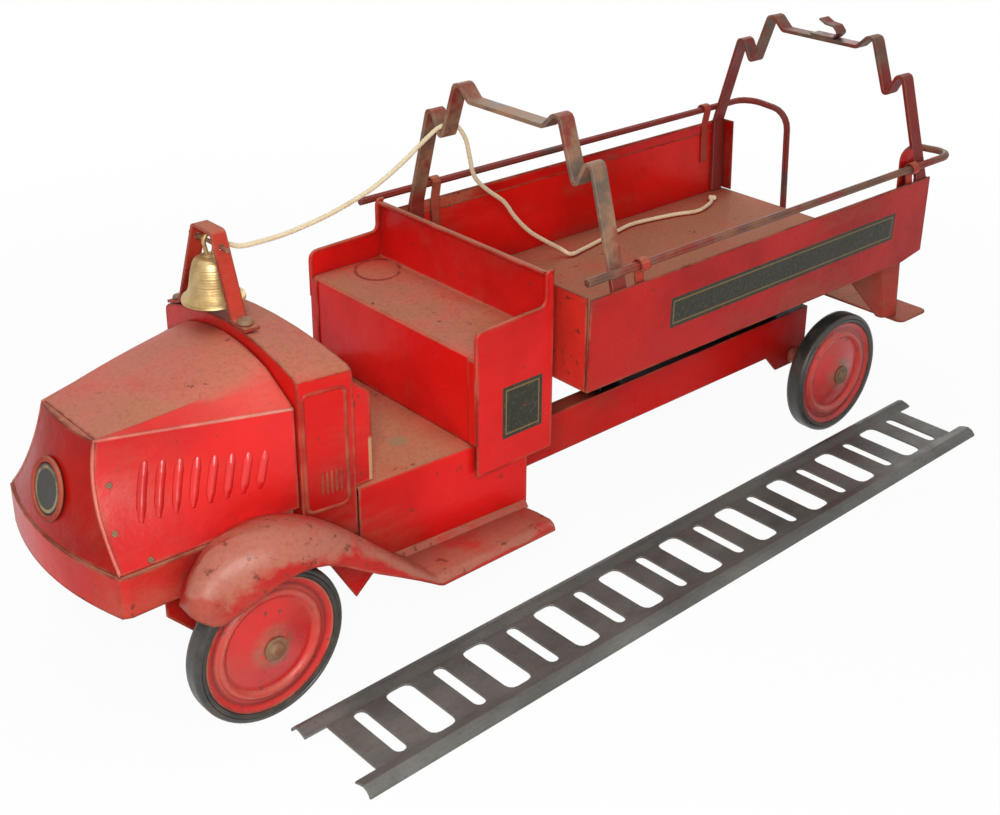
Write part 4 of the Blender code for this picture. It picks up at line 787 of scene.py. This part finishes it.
# The tyre's outer half, as points of a radius and a part of the half width
TYRE_SHOULDER = (
    (TYRE_R, 0.86), (TYRE_R + 0.0012, 0.98), (TYRE_R + 0.0019, 0.97), (TYRE_R + 0.0022, 0.90),
    (TYRE_R + 0.0026, 0.97), (WHEEL_R - 0.0014, 0.94), (WHEEL_R - 0.0005, 0.80), (WHEEL_R - 0.0001, 0.60),
    (WHEEL_R, 0.36), (WHEEL_R - 0.0001, 0.12),
)


def wheel(label, side):
    """Dished disc with a rolled ring, and a tyre with two rounded shoulders and a side groove."""
    sign = SIDES[side]
    centre = to_frame((AXLE_X[label], sign * WHEEL_MID_Y, WHEEL_R))
    place = f"{label}_{side}"
    face = [tuple(p) for p in smooth_line(DISC_FACE, 3)]
    back = [(radius, height - DISC_T) for radius, height in reversed(face)
            if HUB_R + 0.001 < radius < DISC_R - 0.0018]
    rim = [(DISC_R, DISC_BACK_Y), (DISC_R - DISC_T, DISC_BACK_Y), (DISC_R - DISC_T, 0.0030)]
    hub = [(HUB_R, HUB_OUT - 0.0024), (HUB_R, HUB_IN), (BORE_R, HUB_IN)]
    add_piece(f"disc_{place}", lathe(face + rim + back + hub, centre, (0, sign, 0)), WHEEL_PAINT, 40,
              f"wheel_{place}", (f"wheel_disc_{place}",))
    shoulder = [(radius, TYRE_HALF_W * part) for radius, part in TYRE_SHOULDER]
    ring = shoulder + [(radius, -height) for radius, height in reversed(shoulder)]
    add_piece(f"rubber_{place}", lathe(ring, centre, (0, sign, 0)), TYRE, 40,
              f"wheel_{place}", (f"tyre_{place}",))


for wheel_label in AXLE_X:
    for wheel_side in SIDES:
        wheel(wheel_label, wheel_side)


# Rope
ROPE_D = 0.0030
ROPE_STEP = 0.0011
STRANDS = 3
STRAND_DEPTH = 0.20
LAY_PITCH = 0.0105
ROPE_ROUTE = [
    (0.1662, -0.0185, 0.2205), (0.1568, -0.0205, 0.2160), (0.1411, -0.0240, 0.2138),
    (0.1191, -0.0300, 0.2119), (0.0863, -0.0380, 0.2126), (0.0516, -0.0460, 0.2173),
    (0.0243, -0.0520, 0.2257), (0.0020, -0.0575, 0.2345), (-0.0120, -0.0606, 0.2396),
    (-0.0194, -0.0608, 0.2404), (-0.0268, -0.0608, 0.2394), (-0.0345, -0.0604, 0.2290),
    (-0.0376, -0.0600, 0.2166), (-0.0403, -0.0600, 0.2052), (-0.0452, -0.0605, 0.1975),
    (-0.0550, -0.0610, 0.1886), (-0.0691, -0.0620, 0.1775), (-0.0800, -0.0630, 0.1639),
    (-0.0939, -0.0640, 0.1501), (-0.1087, -0.0650, 0.1395), (-0.1250, -0.0660, 0.1290),
    (-0.1317, -0.0610, 0.1243), (-0.1466, -0.0636, 0.1236), (-0.1655, -0.0674, 0.1236),
    (-0.1923, -0.0735, 0.1236), (-0.2131, -0.0760, 0.1236), (-0.2478, -0.0700, 0.1236),
    (-0.2687, -0.0636, 0.1236), (-0.2885, -0.0686, 0.1236), (-0.2964, -0.0735, 0.1236),
]


def rope():
    """Three-strand cotton rope that bends at the bell, where its knot swings, and the knots at its ends."""
    route = [to_frame(p) for p in ROPE_ROUTE]
    line = spaced(smooth_line(route, 24), ROPE_STEP)

    def section(i):
        twist = 2 * math.pi * i * ROPE_STEP / LAY_PITCH
        ring = []
        for turn in full_turn(21):
            bulge = abs(math.cos(STRANDS / 2 * (turn - twist))) ** 0.7
            radius = ROPE_D / 2 * (1 - STRAND_DEPTH + STRAND_DEPTH * bulge)
            ring.append((radius * math.cos(turn), radius * math.sin(turn)))
        return ring

    made = add_piece("bell_cord", tube(line, section), ROPE, 70, None, ("bell_rope",))
    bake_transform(made)
    end_knot = knot("end_knot", "rope_knot_rear", "truck", 0.0013)
    knot("bell_knot", "rope_knot_front", "bell_swing", 0.0009)


def knot(name, node, body, thick):
    """A lumpy overhand knot in the space of a plain one."""
    low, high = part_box(node)
    centre, room = (low + high) / 2, (high - low) / 2
    flat = room.x - thick
    tall = room.z - thick
    path = []
    for t in full_turn(60):
        wide = (2 + math.cos(3 * t)) / 3 * flat
        turn = (wide * math.cos(2 * t), wide * math.sin(2 * t), tall * math.sin(3 * t))
        path.append(centre + Vector(turn))
    shape = tube(path, lambda i: round_section(thick), closed=True)
    return add_piece(name, shape, ROPE, 70, body, (node,))


rope()

# Bell
BELL_SPOT = (0.1770, -0.0176, 0.2248)
BELL_DROP = 0.0079
BELL_HEIGHT = 0.0250
BELL_RIM_R = 0.0172
BELL_WALL = 0.0016
BELL_AXIS_R = 0.0001
EYELET_R = 0.0033
EYELET_TALL_R = 0.0041
EYELET_WIRE_R = 0.0012
EYELET_PAST = 0.4

# The bell's outside and its rim, as parts of the rim's radius and of the height, downwards
BELL_OUTSIDE = ((0.22, 0.005), (0.40, 0.025), (0.51, 0.075), (0.575, 0.16), (0.62, 0.27), (0.66, 0.38),
                (0.69, 0.49), (0.715, 0.60), (0.75, 0.71), (0.80, 0.80), (0.86, 0.865), (0.94, 0.915))
BELL_BEAD = ((0.975, 0.925), (0.990, 0.940), (0.975, 0.955), (0.985, 0.965), (1.0, 0.98), (0.998, 0.995),
             (0.98, 1.0))


def bell():
    """Turned bell with a beaded rim, a ring at its shoulder and a wire eyelet."""
    top, tall, wide = -BELL_DROP, BELL_HEIGHT, BELL_RIM_R
    outside = smooth_line(BELL_OUTSIDE, 4)
    profile = [(BELL_AXIS_R, top + 0.0010), (wide * 0.15, top + 0.0010), (wide * 0.19, top + 0.0004)]
    profile += [(wide * part, top - tall * down) for part, down in (*outside, *BELL_BEAD)]
    profile.append((wide - BELL_WALL, top - tall))
    profile += [(wide * part - BELL_WALL, top - tall * down) for part, down in outside[::-1] if part > 0.5]
    profile += [(wide * 0.32, top - tall * 0.17), (BELL_AXIS_R, top - tall * 0.15)]
    centre = to_frame(BELL_SPOT)
    turns = np.linspace(-EYELET_PAST, math.pi + EYELET_PAST, 25)
    foot = EYELET_WIRE_R * 1.5
    ring = [(foot, 0, top)] + [(EYELET_R * math.cos(a), 0, EYELET_TALL_R * math.sin(a)) for a in turns]
    ring = smooth_line(ring + [(-foot, 0, top)], 2)
    eyelet = tube([centre + Vector(p) for p in ring], lambda i: round_section(EYELET_WIRE_R, 10))
    add_piece("bell_brass", gather([lathe(profile, centre, (0, 0, 1), 80), eyelet]), BELL_METAL, 50,
              "bell_swing", ("bell",))


bell()

# Pressed ribs, screws and rivets
BESIDE_Y = 0.30
RIB_COLUMNS = 11
RIB_SINK = 0.0004
RIB_TAPER = 1.6


def surface_of(name):
    """The surface of a solid, to set small pieces on."""
    mesh = NODES[name].data
    faces = [tuple(p.vertices) for p in mesh.polygons]
    return BVHTree.FromPolygons([v.co.copy() for v in mesh.vertices], faces)


def side_hit(surface, x, z, sign):
    """Where a line from beside the truck meets the surface, in the frame, and which way it faces there."""
    start = to_frame((x, sign * BESIDE_Y, z))
    spot, facing, _, _ = surface.ray_cast(start, Vector((0, -sign, 0)))
    if facing.y * sign < 0:
        facing = -facing
    return spot, facing


def rib(surface, path, sign, width, height, closed=False, sink=RIB_SINK):
    """A raised rib along a path of (x, z) points on a side, tapered at open ends."""
    path = np.array(path, float)
    rows = []
    for i, (spot, step) in enumerate(zip(path, steps_along(path, closed))):
        ahead = step / np.linalg.norm(step)
        across = np.array((-ahead[1], ahead[0]))
        part = i / (len(path) - 1)
        taper = 1.0 if closed else min(1.0, math.sin(math.pi * part) * RIB_TAPER + 0.02)
        row = []
        for s in np.linspace(-1, 1, RIB_COLUMNS):
            x, z = spot + across * s * width / 2 * (0.45 + 0.55 * taper)
            base, facing = side_hit(surface, x, z, sign)
            lift = height * taper * math.cos(s * math.pi / 2) ** 1.6 if abs(s) < 1 else -sink * 0.5
            row.append(base + facing * lift)
        base, facing = side_hit(surface, *spot, sign)
        row.append(base - facing * sink * 2)
        rows.append(row)
    return loft(rows, closed)


def rounded_rectangle(low, high, radius, steps=4, spacing=0.004):
    """A closed outline with round corners."""
    left, right = low[0] + radius, high[0] - radius
    foot, top = low[1] + radius, high[1] - radius
    outline = []
    for quarter, (x, z) in enumerate(((right, top), (left, top), (left, foot), (right, foot))):
        for i in range(steps + 1):
            turn = math.pi / 2 * (quarter + i / steps)
            outline.append((x + radius * math.cos(turn), z + radius * math.sin(turn)))
    dense = []
    for a, b in zip(outline, outline[1:] + outline[:1]):
        dense += [*np.linspace(a, b, max(1, int(math.dist(a, b) / spacing)), endpoint=False)]
    return dense


# Upper and lower ends of the first and the last louvre, as (x, z) points, and their heights
LOUVRES = 8
LOUVRE_TOPS = ((0.2525, 0.1450), (0.1966, 0.1385))
LOUVRE_FEET = ((0.2622, 0.1180), (0.2020, 0.1186))
LOUVRE_HEIGHTS = (0.0020, 0.0013)
LOUVRE_WIDTH = 0.0048
LOUVRE_SINK = 0.0002
PANEL_LOW = (0.1545, 0.0965)
PANEL_HIGH = (0.1785, 0.1655)
PANEL_CORNER = 0.004
BORDER_WIDTH, BORDER_HEIGHT = 0.0028, 0.0007
FLUTE_X = (0.1585, 0.1612, 0.1639, 0.1666, 0.1693)
FLUTE_Z = (0.1050, 0.1185)
FLUTE_WIDTH, FLUTE_HEIGHT = 0.0019, 0.0006


def side_pressings():
    """Louvres pressed in the hood's sides, and the raised border and flutes of the cowl's sides."""
    hood, cowl = surface_of("hood_shell"), surface_of("cowl")
    ends = [np.linspace(*pair, LOUVRES) for pair in (LOUVRE_TOPS, LOUVRE_FEET, LOUVRE_HEIGHTS)]
    panel = rounded_rectangle(PANEL_LOW, PANEL_HIGH, PANEL_CORNER)
    for side, sign in SIDES.items():
        louvres = [rib(hood, np.linspace(top, foot, 21), sign, LOUVRE_WIDTH, height, sink=LOUVRE_SINK)
                   for top, foot, height in zip(*ends)]
        add_piece(f"hood_louvres_{side}", gather(louvres), LOUVRE_PAINT)
        ribs = [rib(cowl, panel, sign, BORDER_WIDTH, BORDER_HEIGHT, closed=True)]
        for x in FLUTE_X:
            flute = [(x, z) for z in np.linspace(*FLUTE_Z, 9)]
            ribs.append(rib(cowl, flute, sign, FLUTE_WIDTH, FLUTE_HEIGHT))
        add_piece(f"cowl_pressing_{side}", gather(ribs), COWL_PAINT)


HOOD_SCREWS = ((0.2708, 0.1368), (0.2758, 0.1167), (0.2645, 0.1032))
SCREW_R = 0.0016
SCREW_HEIGHT = 0.0009
SCREW_BASE = (-0.0004, 0.45 * SCREW_HEIGHT)
SCREW_DOME = ((1.0, 0.4), (0.96, 0.7), (0.82, 0.92), (0.6, 1.0))
SLOT_PART = 0.16
FRONT_RACK_X = -0.0194
RIVET_Z = (0.1400, 0.1600)
RIVET_R, RIVET_HEIGHT = 0.0026, 0.0012
RIVET_DOME = ((1.0, -0.3), (1.0, 0.25), (0.9, 0.6), (0.65, 0.9), (0.3, 1.0))


def screw_head(spot, facing):
    """A slotted round head: a low dome in two halves on a thin base."""
    parts = [loft([circle(spot, facing, SCREW_R, lift, full_turn(24)) for lift in SCREW_BASE])]
    for sign in (1, -1):
        rings = []
        for shrink, lift in SCREW_DOME:
            start = math.asin(SLOT_PART / shrink)
            turns = sign * np.linspace(start, math.pi - start, 14)
            rings.append(circle(spot, facing, SCREW_R * shrink, SCREW_HEIGHT * lift, turns))
        parts.append(loft(rings))
    return gather(parts)


def rivet_head(spot, facing):
    """A round rivet head."""
    return loft([circle(spot, facing, RIVET_R * shrink, RIVET_HEIGHT * lift, full_turn(16))
                 for shrink, lift in RIVET_DOME])


def fasteners():
    """Hood screws and the front rack's rivets."""
    hood = surface_of("hood_shell")
    for side, sign in SIDES.items():
        heads = [screw_head(*side_hit(hood, x, z, sign)) for x, z in HOOD_SCREWS]
        add_piece(f"hood_screws_{side}", gather(heads), BOLT_METAL, 30)
    rack = surface_of("ladder_rack_front")
    heads = []
    for sign in SIDES.values():
        for z in RIVET_Z:
            spot, _, _, _ = rack.ray_cast(to_frame((FRONT_RACK_X, 0, z)), Vector((0, sign, 0)))
            heads.append(rivet_head(spot, Vector((0, -sign, 0))))
    add_piece("rack_rivets", gather(heads), RACK_METAL, 30)


# Rolled edges, hems, flanges and tabs
def soft_corners(points, radius, steps=5):
    """A line through truck points with each inner corner rounded, in the frame."""
    points = [to_frame(p) for p in points]
    line = [points[0]]
    for before, corner, after in zip(points, points[1:], points[2:]):
        back, ahead = before - corner, after - corner
        start = corner + back.normalized() * min(radius, back.length / 2)
        end = corner + ahead.normalized() * min(radius, ahead.length / 2)
        for t in np.linspace(0, 1, steps + 1):
            line.append(start * (1 - t) ** 2 + corner * 2 * t * (1 - t) + end * t ** 2)
    line.append(points[-1])
    return line


def bead(name, line, radius, look):
    """A rolled edge along a line in the frame."""
    add_piece(name, tube(line, lambda i: round_section(radius, 10)), look)


SEAT_EDGE_Y = 0.0787
SEAT_EDGE = ((0.0745, 0.1450), (0.0745, 0.1732), (0.0231, 0.1747), (0.0231, 0.1955), (0.0182, 0.1955))
SEAT_EDGE_CORNER = 0.0055
SEAT_EDGE_R = 0.0013
SEAT_BACK_X, SEAT_BACK_Z = 0.0226, 0.1940
SEAT_BACK_PART = 0.975


def seat_edges():
    """Rolled edges round the seat's arms and along the top of its back."""
    for side, sign in SIDES.items():
        outline = [(x, sign * SEAT_EDGE_Y, z) for x, z in SEAT_EDGE]
        bead(f"seat_edge_{side}", soft_corners(outline, SEAT_EDGE_CORNER), SEAT_EDGE_R, SEAT_PAINT)
    reach = SEAT_EDGE_Y * SEAT_BACK_PART
    ends = [to_frame((SEAT_BACK_X, y, SEAT_BACK_Z)) for y in (-reach, 0.0, reach)]
    bead("seat_back_edge", ends, SEAT_EDGE_R, SEAT_PAINT)


HOOD_TOP_Z, HOOD_FOOT_Z = 0.1588, 0.1016
HOOD_REAR = (0.1820, 0.0624)
NOSE_TOP = (0.2727, 0.0276)
NOSE_FOOT = (0.2813, 0.0590)
NOSE_FLARE, NOSE_BOW = 1.95, 0.0017
HOOD_EDGE_R = 0.0009


def hood_edges():
    """The folded edge along the hood's upper side and down beside the nose, pale pink with a painted
    highlight.
    """
    line = [*np.linspace((*HOOD_REAR, HOOD_TOP_Z), (*NOSE_TOP, HOOD_TOP_Z), 10)]
    for s in np.linspace(0, 1, 13)[1:]:
        x = NOSE_TOP[0] + (NOSE_FOOT[0] - NOSE_TOP[0]) * s + NOSE_BOW * math.sin(math.pi * s)
        half_w = NOSE_TOP[1] + (NOSE_FOOT[1] - NOSE_TOP[1]) * s ** NOSE_FLARE
        line.append((x, half_w, HOOD_TOP_Z + (HOOD_FOOT_Z - HOOD_TOP_Z) * s))
    for side, sign in SIDES.items():
        bead(f"hood_edge_{side}", [to_frame((x, sign * y, z)) for x, y, z in line], HOOD_EDGE_R, FOLD_HIGHLIGHT_PAINT)


NOSE_TOP_BULGE, NOSE_FOOT_BULGE = 0.0025, 0.0098
NOSE_FOLD_BACK, NOSE_FOLD_T = 0.0012, 0.0007
CHIN_REAR_X, CHIN_CORNER_X, CHIN_FRONT_X = 0.1880, 0.2785, 0.2821
CHIN_HALF_W, CHIN_TOP_Z = 0.0613, 0.1010
CHIN_FRONT_PART, LEDGE_NARROWS = 0.94, 0.95
LEDGE_WIDTH, LEDGE_T = 0.0034, 0.0009

# A band's section, as parts of its width from the inner line and of its thickness from the top
BAND_SECTION = ((0.0, 0.0), (0.9, 0.0), (0.98, 0.2), (1.0, 0.5), (0.98, 0.8), (0.9, 1.0), (0.0, 1.0))


def band(name, outer, inner, top, thick, look):
    """A flat band between two lines of (x, y) points, with its top at a height and a soft outer edge."""
    rows = []
    for (out_x, out_y), (in_x, in_y) in zip(outer, inner):
        wide_x, wide_y = out_x - in_x, out_y - in_y
        rows.append([to_frame((in_x + wide_x * part, in_y + wide_y * part, top - thick * drop))
                     for part, drop in BAND_SECTION])
    add_piece(name, loft(rows), look, 40)


def nose_folds():
    """The nose's top edge folded back to the hood, and the ledge turned in along the chin's top."""
    parts = np.linspace(1, -1, 17)
    outer = [(NOSE_TOP[0] + NOSE_TOP_BULGE * (1 - part * part), NOSE_TOP[1] * part) for part in parts]
    inner = [(NOSE_TOP[0] - NOSE_FOLD_BACK, NOSE_TOP[1] * part) for part in parts]
    band("nose_top_fold", outer, inner, HOOD_TOP_Z, NOSE_FOLD_T, HOOD_PAINT)
    outer = [(CHIN_REAR_X, CHIN_HALF_W), (CHIN_CORNER_X, CHIN_HALF_W)]
    inside_y = CHIN_HALF_W - LEDGE_WIDTH
    inner = [(CHIN_REAR_X, inside_y), (CHIN_CORNER_X - LEDGE_WIDTH, inside_y)]
    for part in np.linspace(CHIN_FRONT_PART, -CHIN_FRONT_PART, 21):
        x = CHIN_FRONT_X + NOSE_FOOT_BULGE * (1 - part * part)
        outer.append((x, CHIN_HALF_W * part))
        inner.append((x - LEDGE_WIDTH, CHIN_HALF_W * part * LEDGE_NARROWS))
    for line in (outer, inner):
        line += [(x, -y) for x, y in reversed(line[:2])]
    band("chin_ledge", outer, inner, CHIN_TOP_Z, LEDGE_T, HEM_PAINT)


def signed_power(value, power):
    """A power of a value that keeps its sign."""
    return math.copysign(abs(value) ** power, value)


def strip(name, line, across, out, width, thick, look):
    """A flat strip with rounded long edges along a line in the frame."""
    across, out = Vector(across).normalized(), Vector(out).normalized()
    section = [(signed_power(math.cos(t), 0.25) * width / 2, signed_power(math.sin(t), 0.6) * thick / 2)
               for t in full_turn(20)]
    add_piece(name, loft([[spot + across * a + out * b for a, b in section] for spot in line]), look, 40)


BOARD_X = (0.0360, 0.1280)
BOARD_FLANGE_Z = 0.0521
BOARD_FLANGE_OFF = 0.0013
BOARD_FLANGE_WIDTH, BOARD_FLANGE_T = 0.0052, 0.0007
BOARD_FLANGE_LEAN = 0.8
CAB_ABOVE_FOOT = 0.0010


def board_flanges():
    """The inner edge of each running board, turned up to meet the cab's side."""
    cab = surface_of("cab_base")
    cab_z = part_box("cab_base")[0].z + CAB_ABOVE_FOOT
    for side, sign in SIDES.items():
        line = []
        for x in np.linspace(*BOARD_X, 12):
            spot, _ = side_hit(cab, x, cab_z, sign)
            line.append(Vector((spot.x, spot.y + sign * BOARD_FLANGE_OFF, BOARD_FLANGE_Z)))
        strip(f"board_flange_{side}", line, (0, -sign * BOARD_FLANGE_LEAN, 1), (0, sign, BOARD_FLANGE_LEAN),
              BOARD_FLANGE_WIDTH, BOARD_FLANGE_T, FENDER_PAINT)


SEAT_FLANGE_X = 0.0750
SEAT_FLANGE_Y = 0.0754
SEAT_FLANGE_Z = (0.1045, 0.1565)
SEAT_FLANGE_WIDTH, SEAT_FLANGE_T = 0.0072, 0.0010


def seat_flanges():
    """The flange of each seat side that turns in over the seat's front."""
    heights = np.linspace(*SEAT_FLANGE_Z, 12)
    for side, sign in SIDES.items():
        spots = [to_frame((SEAT_FLANGE_X, sign * SEAT_FLANGE_Y, z)) for z in heights]
        strip(f"seat_flange_{side}", spots, (0, 1, 0), (1, 0, 0), SEAT_FLANGE_WIDTH, SEAT_FLANGE_T,
              SEAT_FLANGE_PAINT)


BED_X = (-0.3292, 0.0034)
BED_INSIDE_Y = 0.0949
BED_LEAN = 0.0305
HEM_MIDDLE_Z, HEM_WIDTH, HEM_T = 0.1746, 0.0084, 0.0006
HEM_WAVE, HEM_WAVE_TURN = 0.0002, 0.9
HEM_RIPPLE, HEM_RIPPLE_TURN = 0.00015, 2.3
FLANGE_Z = (0.1226, 0.1786)
FLANGE_WIDTH, FLANGE_T = 0.0105, 0.0010
FLANGE_OFF = 0.0008


def bed_folds():
    """The hem folded down inside each bed side, and the flange turned in at each side's rear end."""
    for side, sign in SIDES.items():
        hem = []
        for i, x in enumerate(np.linspace(*BED_X, 40)):
            z = HEM_MIDDLE_Z + HEM_WAVE * math.sin(i * HEM_WAVE_TURN)
            z += HEM_RIPPLE * math.sin(i * HEM_RIPPLE_TURN + sign)
            hem.append(to_frame((x, sign * BED_INSIDE_Y, z)))
        strip(f"bed_hem_{side}", hem, (0, sign * BED_LEAN, 1), (0, sign, 0), HEM_WIDTH, HEM_T, HEM_PAINT)
        middle_y = sign * (BED_INSIDE_Y - FLANGE_WIDTH / 2 - FLANGE_OFF)
        flange = [to_frame((BED_X[0] - FLANGE_T / 4, middle_y + sign * BED_LEAN * (z - FLANGE_Z[1]), z))
                  for z in np.linspace(*FLANGE_Z, 12)]
        strip(f"bed_flange_{side}", flange, (0, 1, 0), (1, 0, 0), FLANGE_WIDTH, FLANGE_T, BED_PAINT)


TAB_X = (-0.3158, -0.2985)
TAB_Z = (0.1660, 0.2030)
TAB_Y = 0.0903
TAB_T = 0.0010
TAB_LAYERS = ((-0.5, 0.97), (-0.3, 1.0), (0.3, 1.0), (0.5, 0.97))


def rail_tab():
    """The round-topped plate behind the left handrail's rear clip."""
    low_x, high_x = TAB_X
    low_z, high_z = TAB_Z
    middle, half = (low_x + high_x) / 2, (high_x - low_x) / 2
    outline = [(low_x, low_z), (high_x, low_z)]
    outline += [(middle + half * signed_power(math.cos(t), 0.7), high_z - half * (1 - math.sin(t) ** 0.8))
                for t in np.linspace(0.05, math.pi - 0.05, 18)]
    rows = []
    for off, shrink in TAB_LAYERS:
        y, shorten = TAB_Y + off * TAB_T, 1 - (1 - shrink) / 3
        rows.append([to_frame((middle + (x - middle) * shrink, y, low_z + (z - low_z) * shorten))
                     for x, z in outline])
    add_piece("rail_tab", loft(rows), BED_PAINT, 30)


side_pressings()
fasteners()
seat_edges()
hood_edges()
nose_folds()
board_flanges()
seat_flanges()
bed_folds()
rail_tab()

# Light and floor: each lamp has a spot, a size and a power
LAMPS = {
    "key": ((0.57, 0.57, 0.53), 0.22, 4.9),
    "top": ((0.20, -0.10, 1.50), 1.2, 5.6),
    "back": ((-0.75, -0.70, 0.60), 0.8, 3.0),
}
AIM = Vector((0.08, 0.0, 0.12))
AMBIENT = 0.22
WHITE = (1, 1, 1, 1)
FLOOR_HALF = 6.0
FLOOR_GREYS = ((0.90, 0.90, 0.90, 1), (0.93, 0.93, 0.93, 1))
FLOOR_WHITES = (0.95, 1.0)
FLOOR_RIM = (0.45, 1.00)


def lamps():
    """A lamp beside the camera, and softer ones above and behind."""
    for name, (spot, size, power) in LAMPS.items():
        data = bpy.data.lights.new(name, "AREA")
        data.size = size
        data.energy = power
        lamp = new_object(name, data)
        lamp.location = spot
        lamp.rotation_euler = (AIM - Vector(spot)).to_track_quat("-Z", "Y").to_euler()


def surround():
    """A white world that lights the truck softly."""
    world = bpy.data.worlds.new("surround")
    world.use_nodes = True
    bpy.context.scene.world = world
    nodes = Nodes(world.node_tree)
    nodes.tree.nodes.clear()
    strength = nodes.node("ShaderNodeMapRange", {"Value": nodes.background_rays(), "To Min": AMBIENT,
                                                 "To Max": 1.0})
    back = nodes.node("ShaderNodeBackground", {"Color": WHITE, "Strength": strength})
    nodes.node("ShaderNodeOutputWorld", {"Surface": back})


def pale_floor():
    """A pale floor that fades to white away from the truck and keeps its shadow."""
    mesh = bpy.data.meshes.new("floor")
    half = FLOOR_HALF
    corners = [(-half, -half, 0), (half, -half, 0), (half, half, 0), (-half, half, 0)]
    mesh.from_pydata(corners, [], [(0, 1, 2, 3)])
    look = Look("floor")
    mesh.materials.append(look.finish(look.mix(look.noise(3, 2), *FLOOR_GREYS), 0.9))
    reach = look.node("ShaderNodeVectorMath", {0: look.spot}, "Value", operation="LENGTH")
    white = look.times(look.ramp(reach, *FLOOR_RIM, *FLOOR_WHITES), look.background_rays())
    glow = look.node("ShaderNodeEmission", {"Color": WHITE, "Strength": 1.0})
    both = look.node("ShaderNodeMixShader", {0: white, 1: look.shader.outputs[0], 2: glow})
    look.put(look.tree.nodes["Material Output"].inputs["Surface"], both)
    new_object("floor", mesh)


lamps()
surround()
pale_floor()
bpy.context.scene.view_settings.view_transform = "Standard"
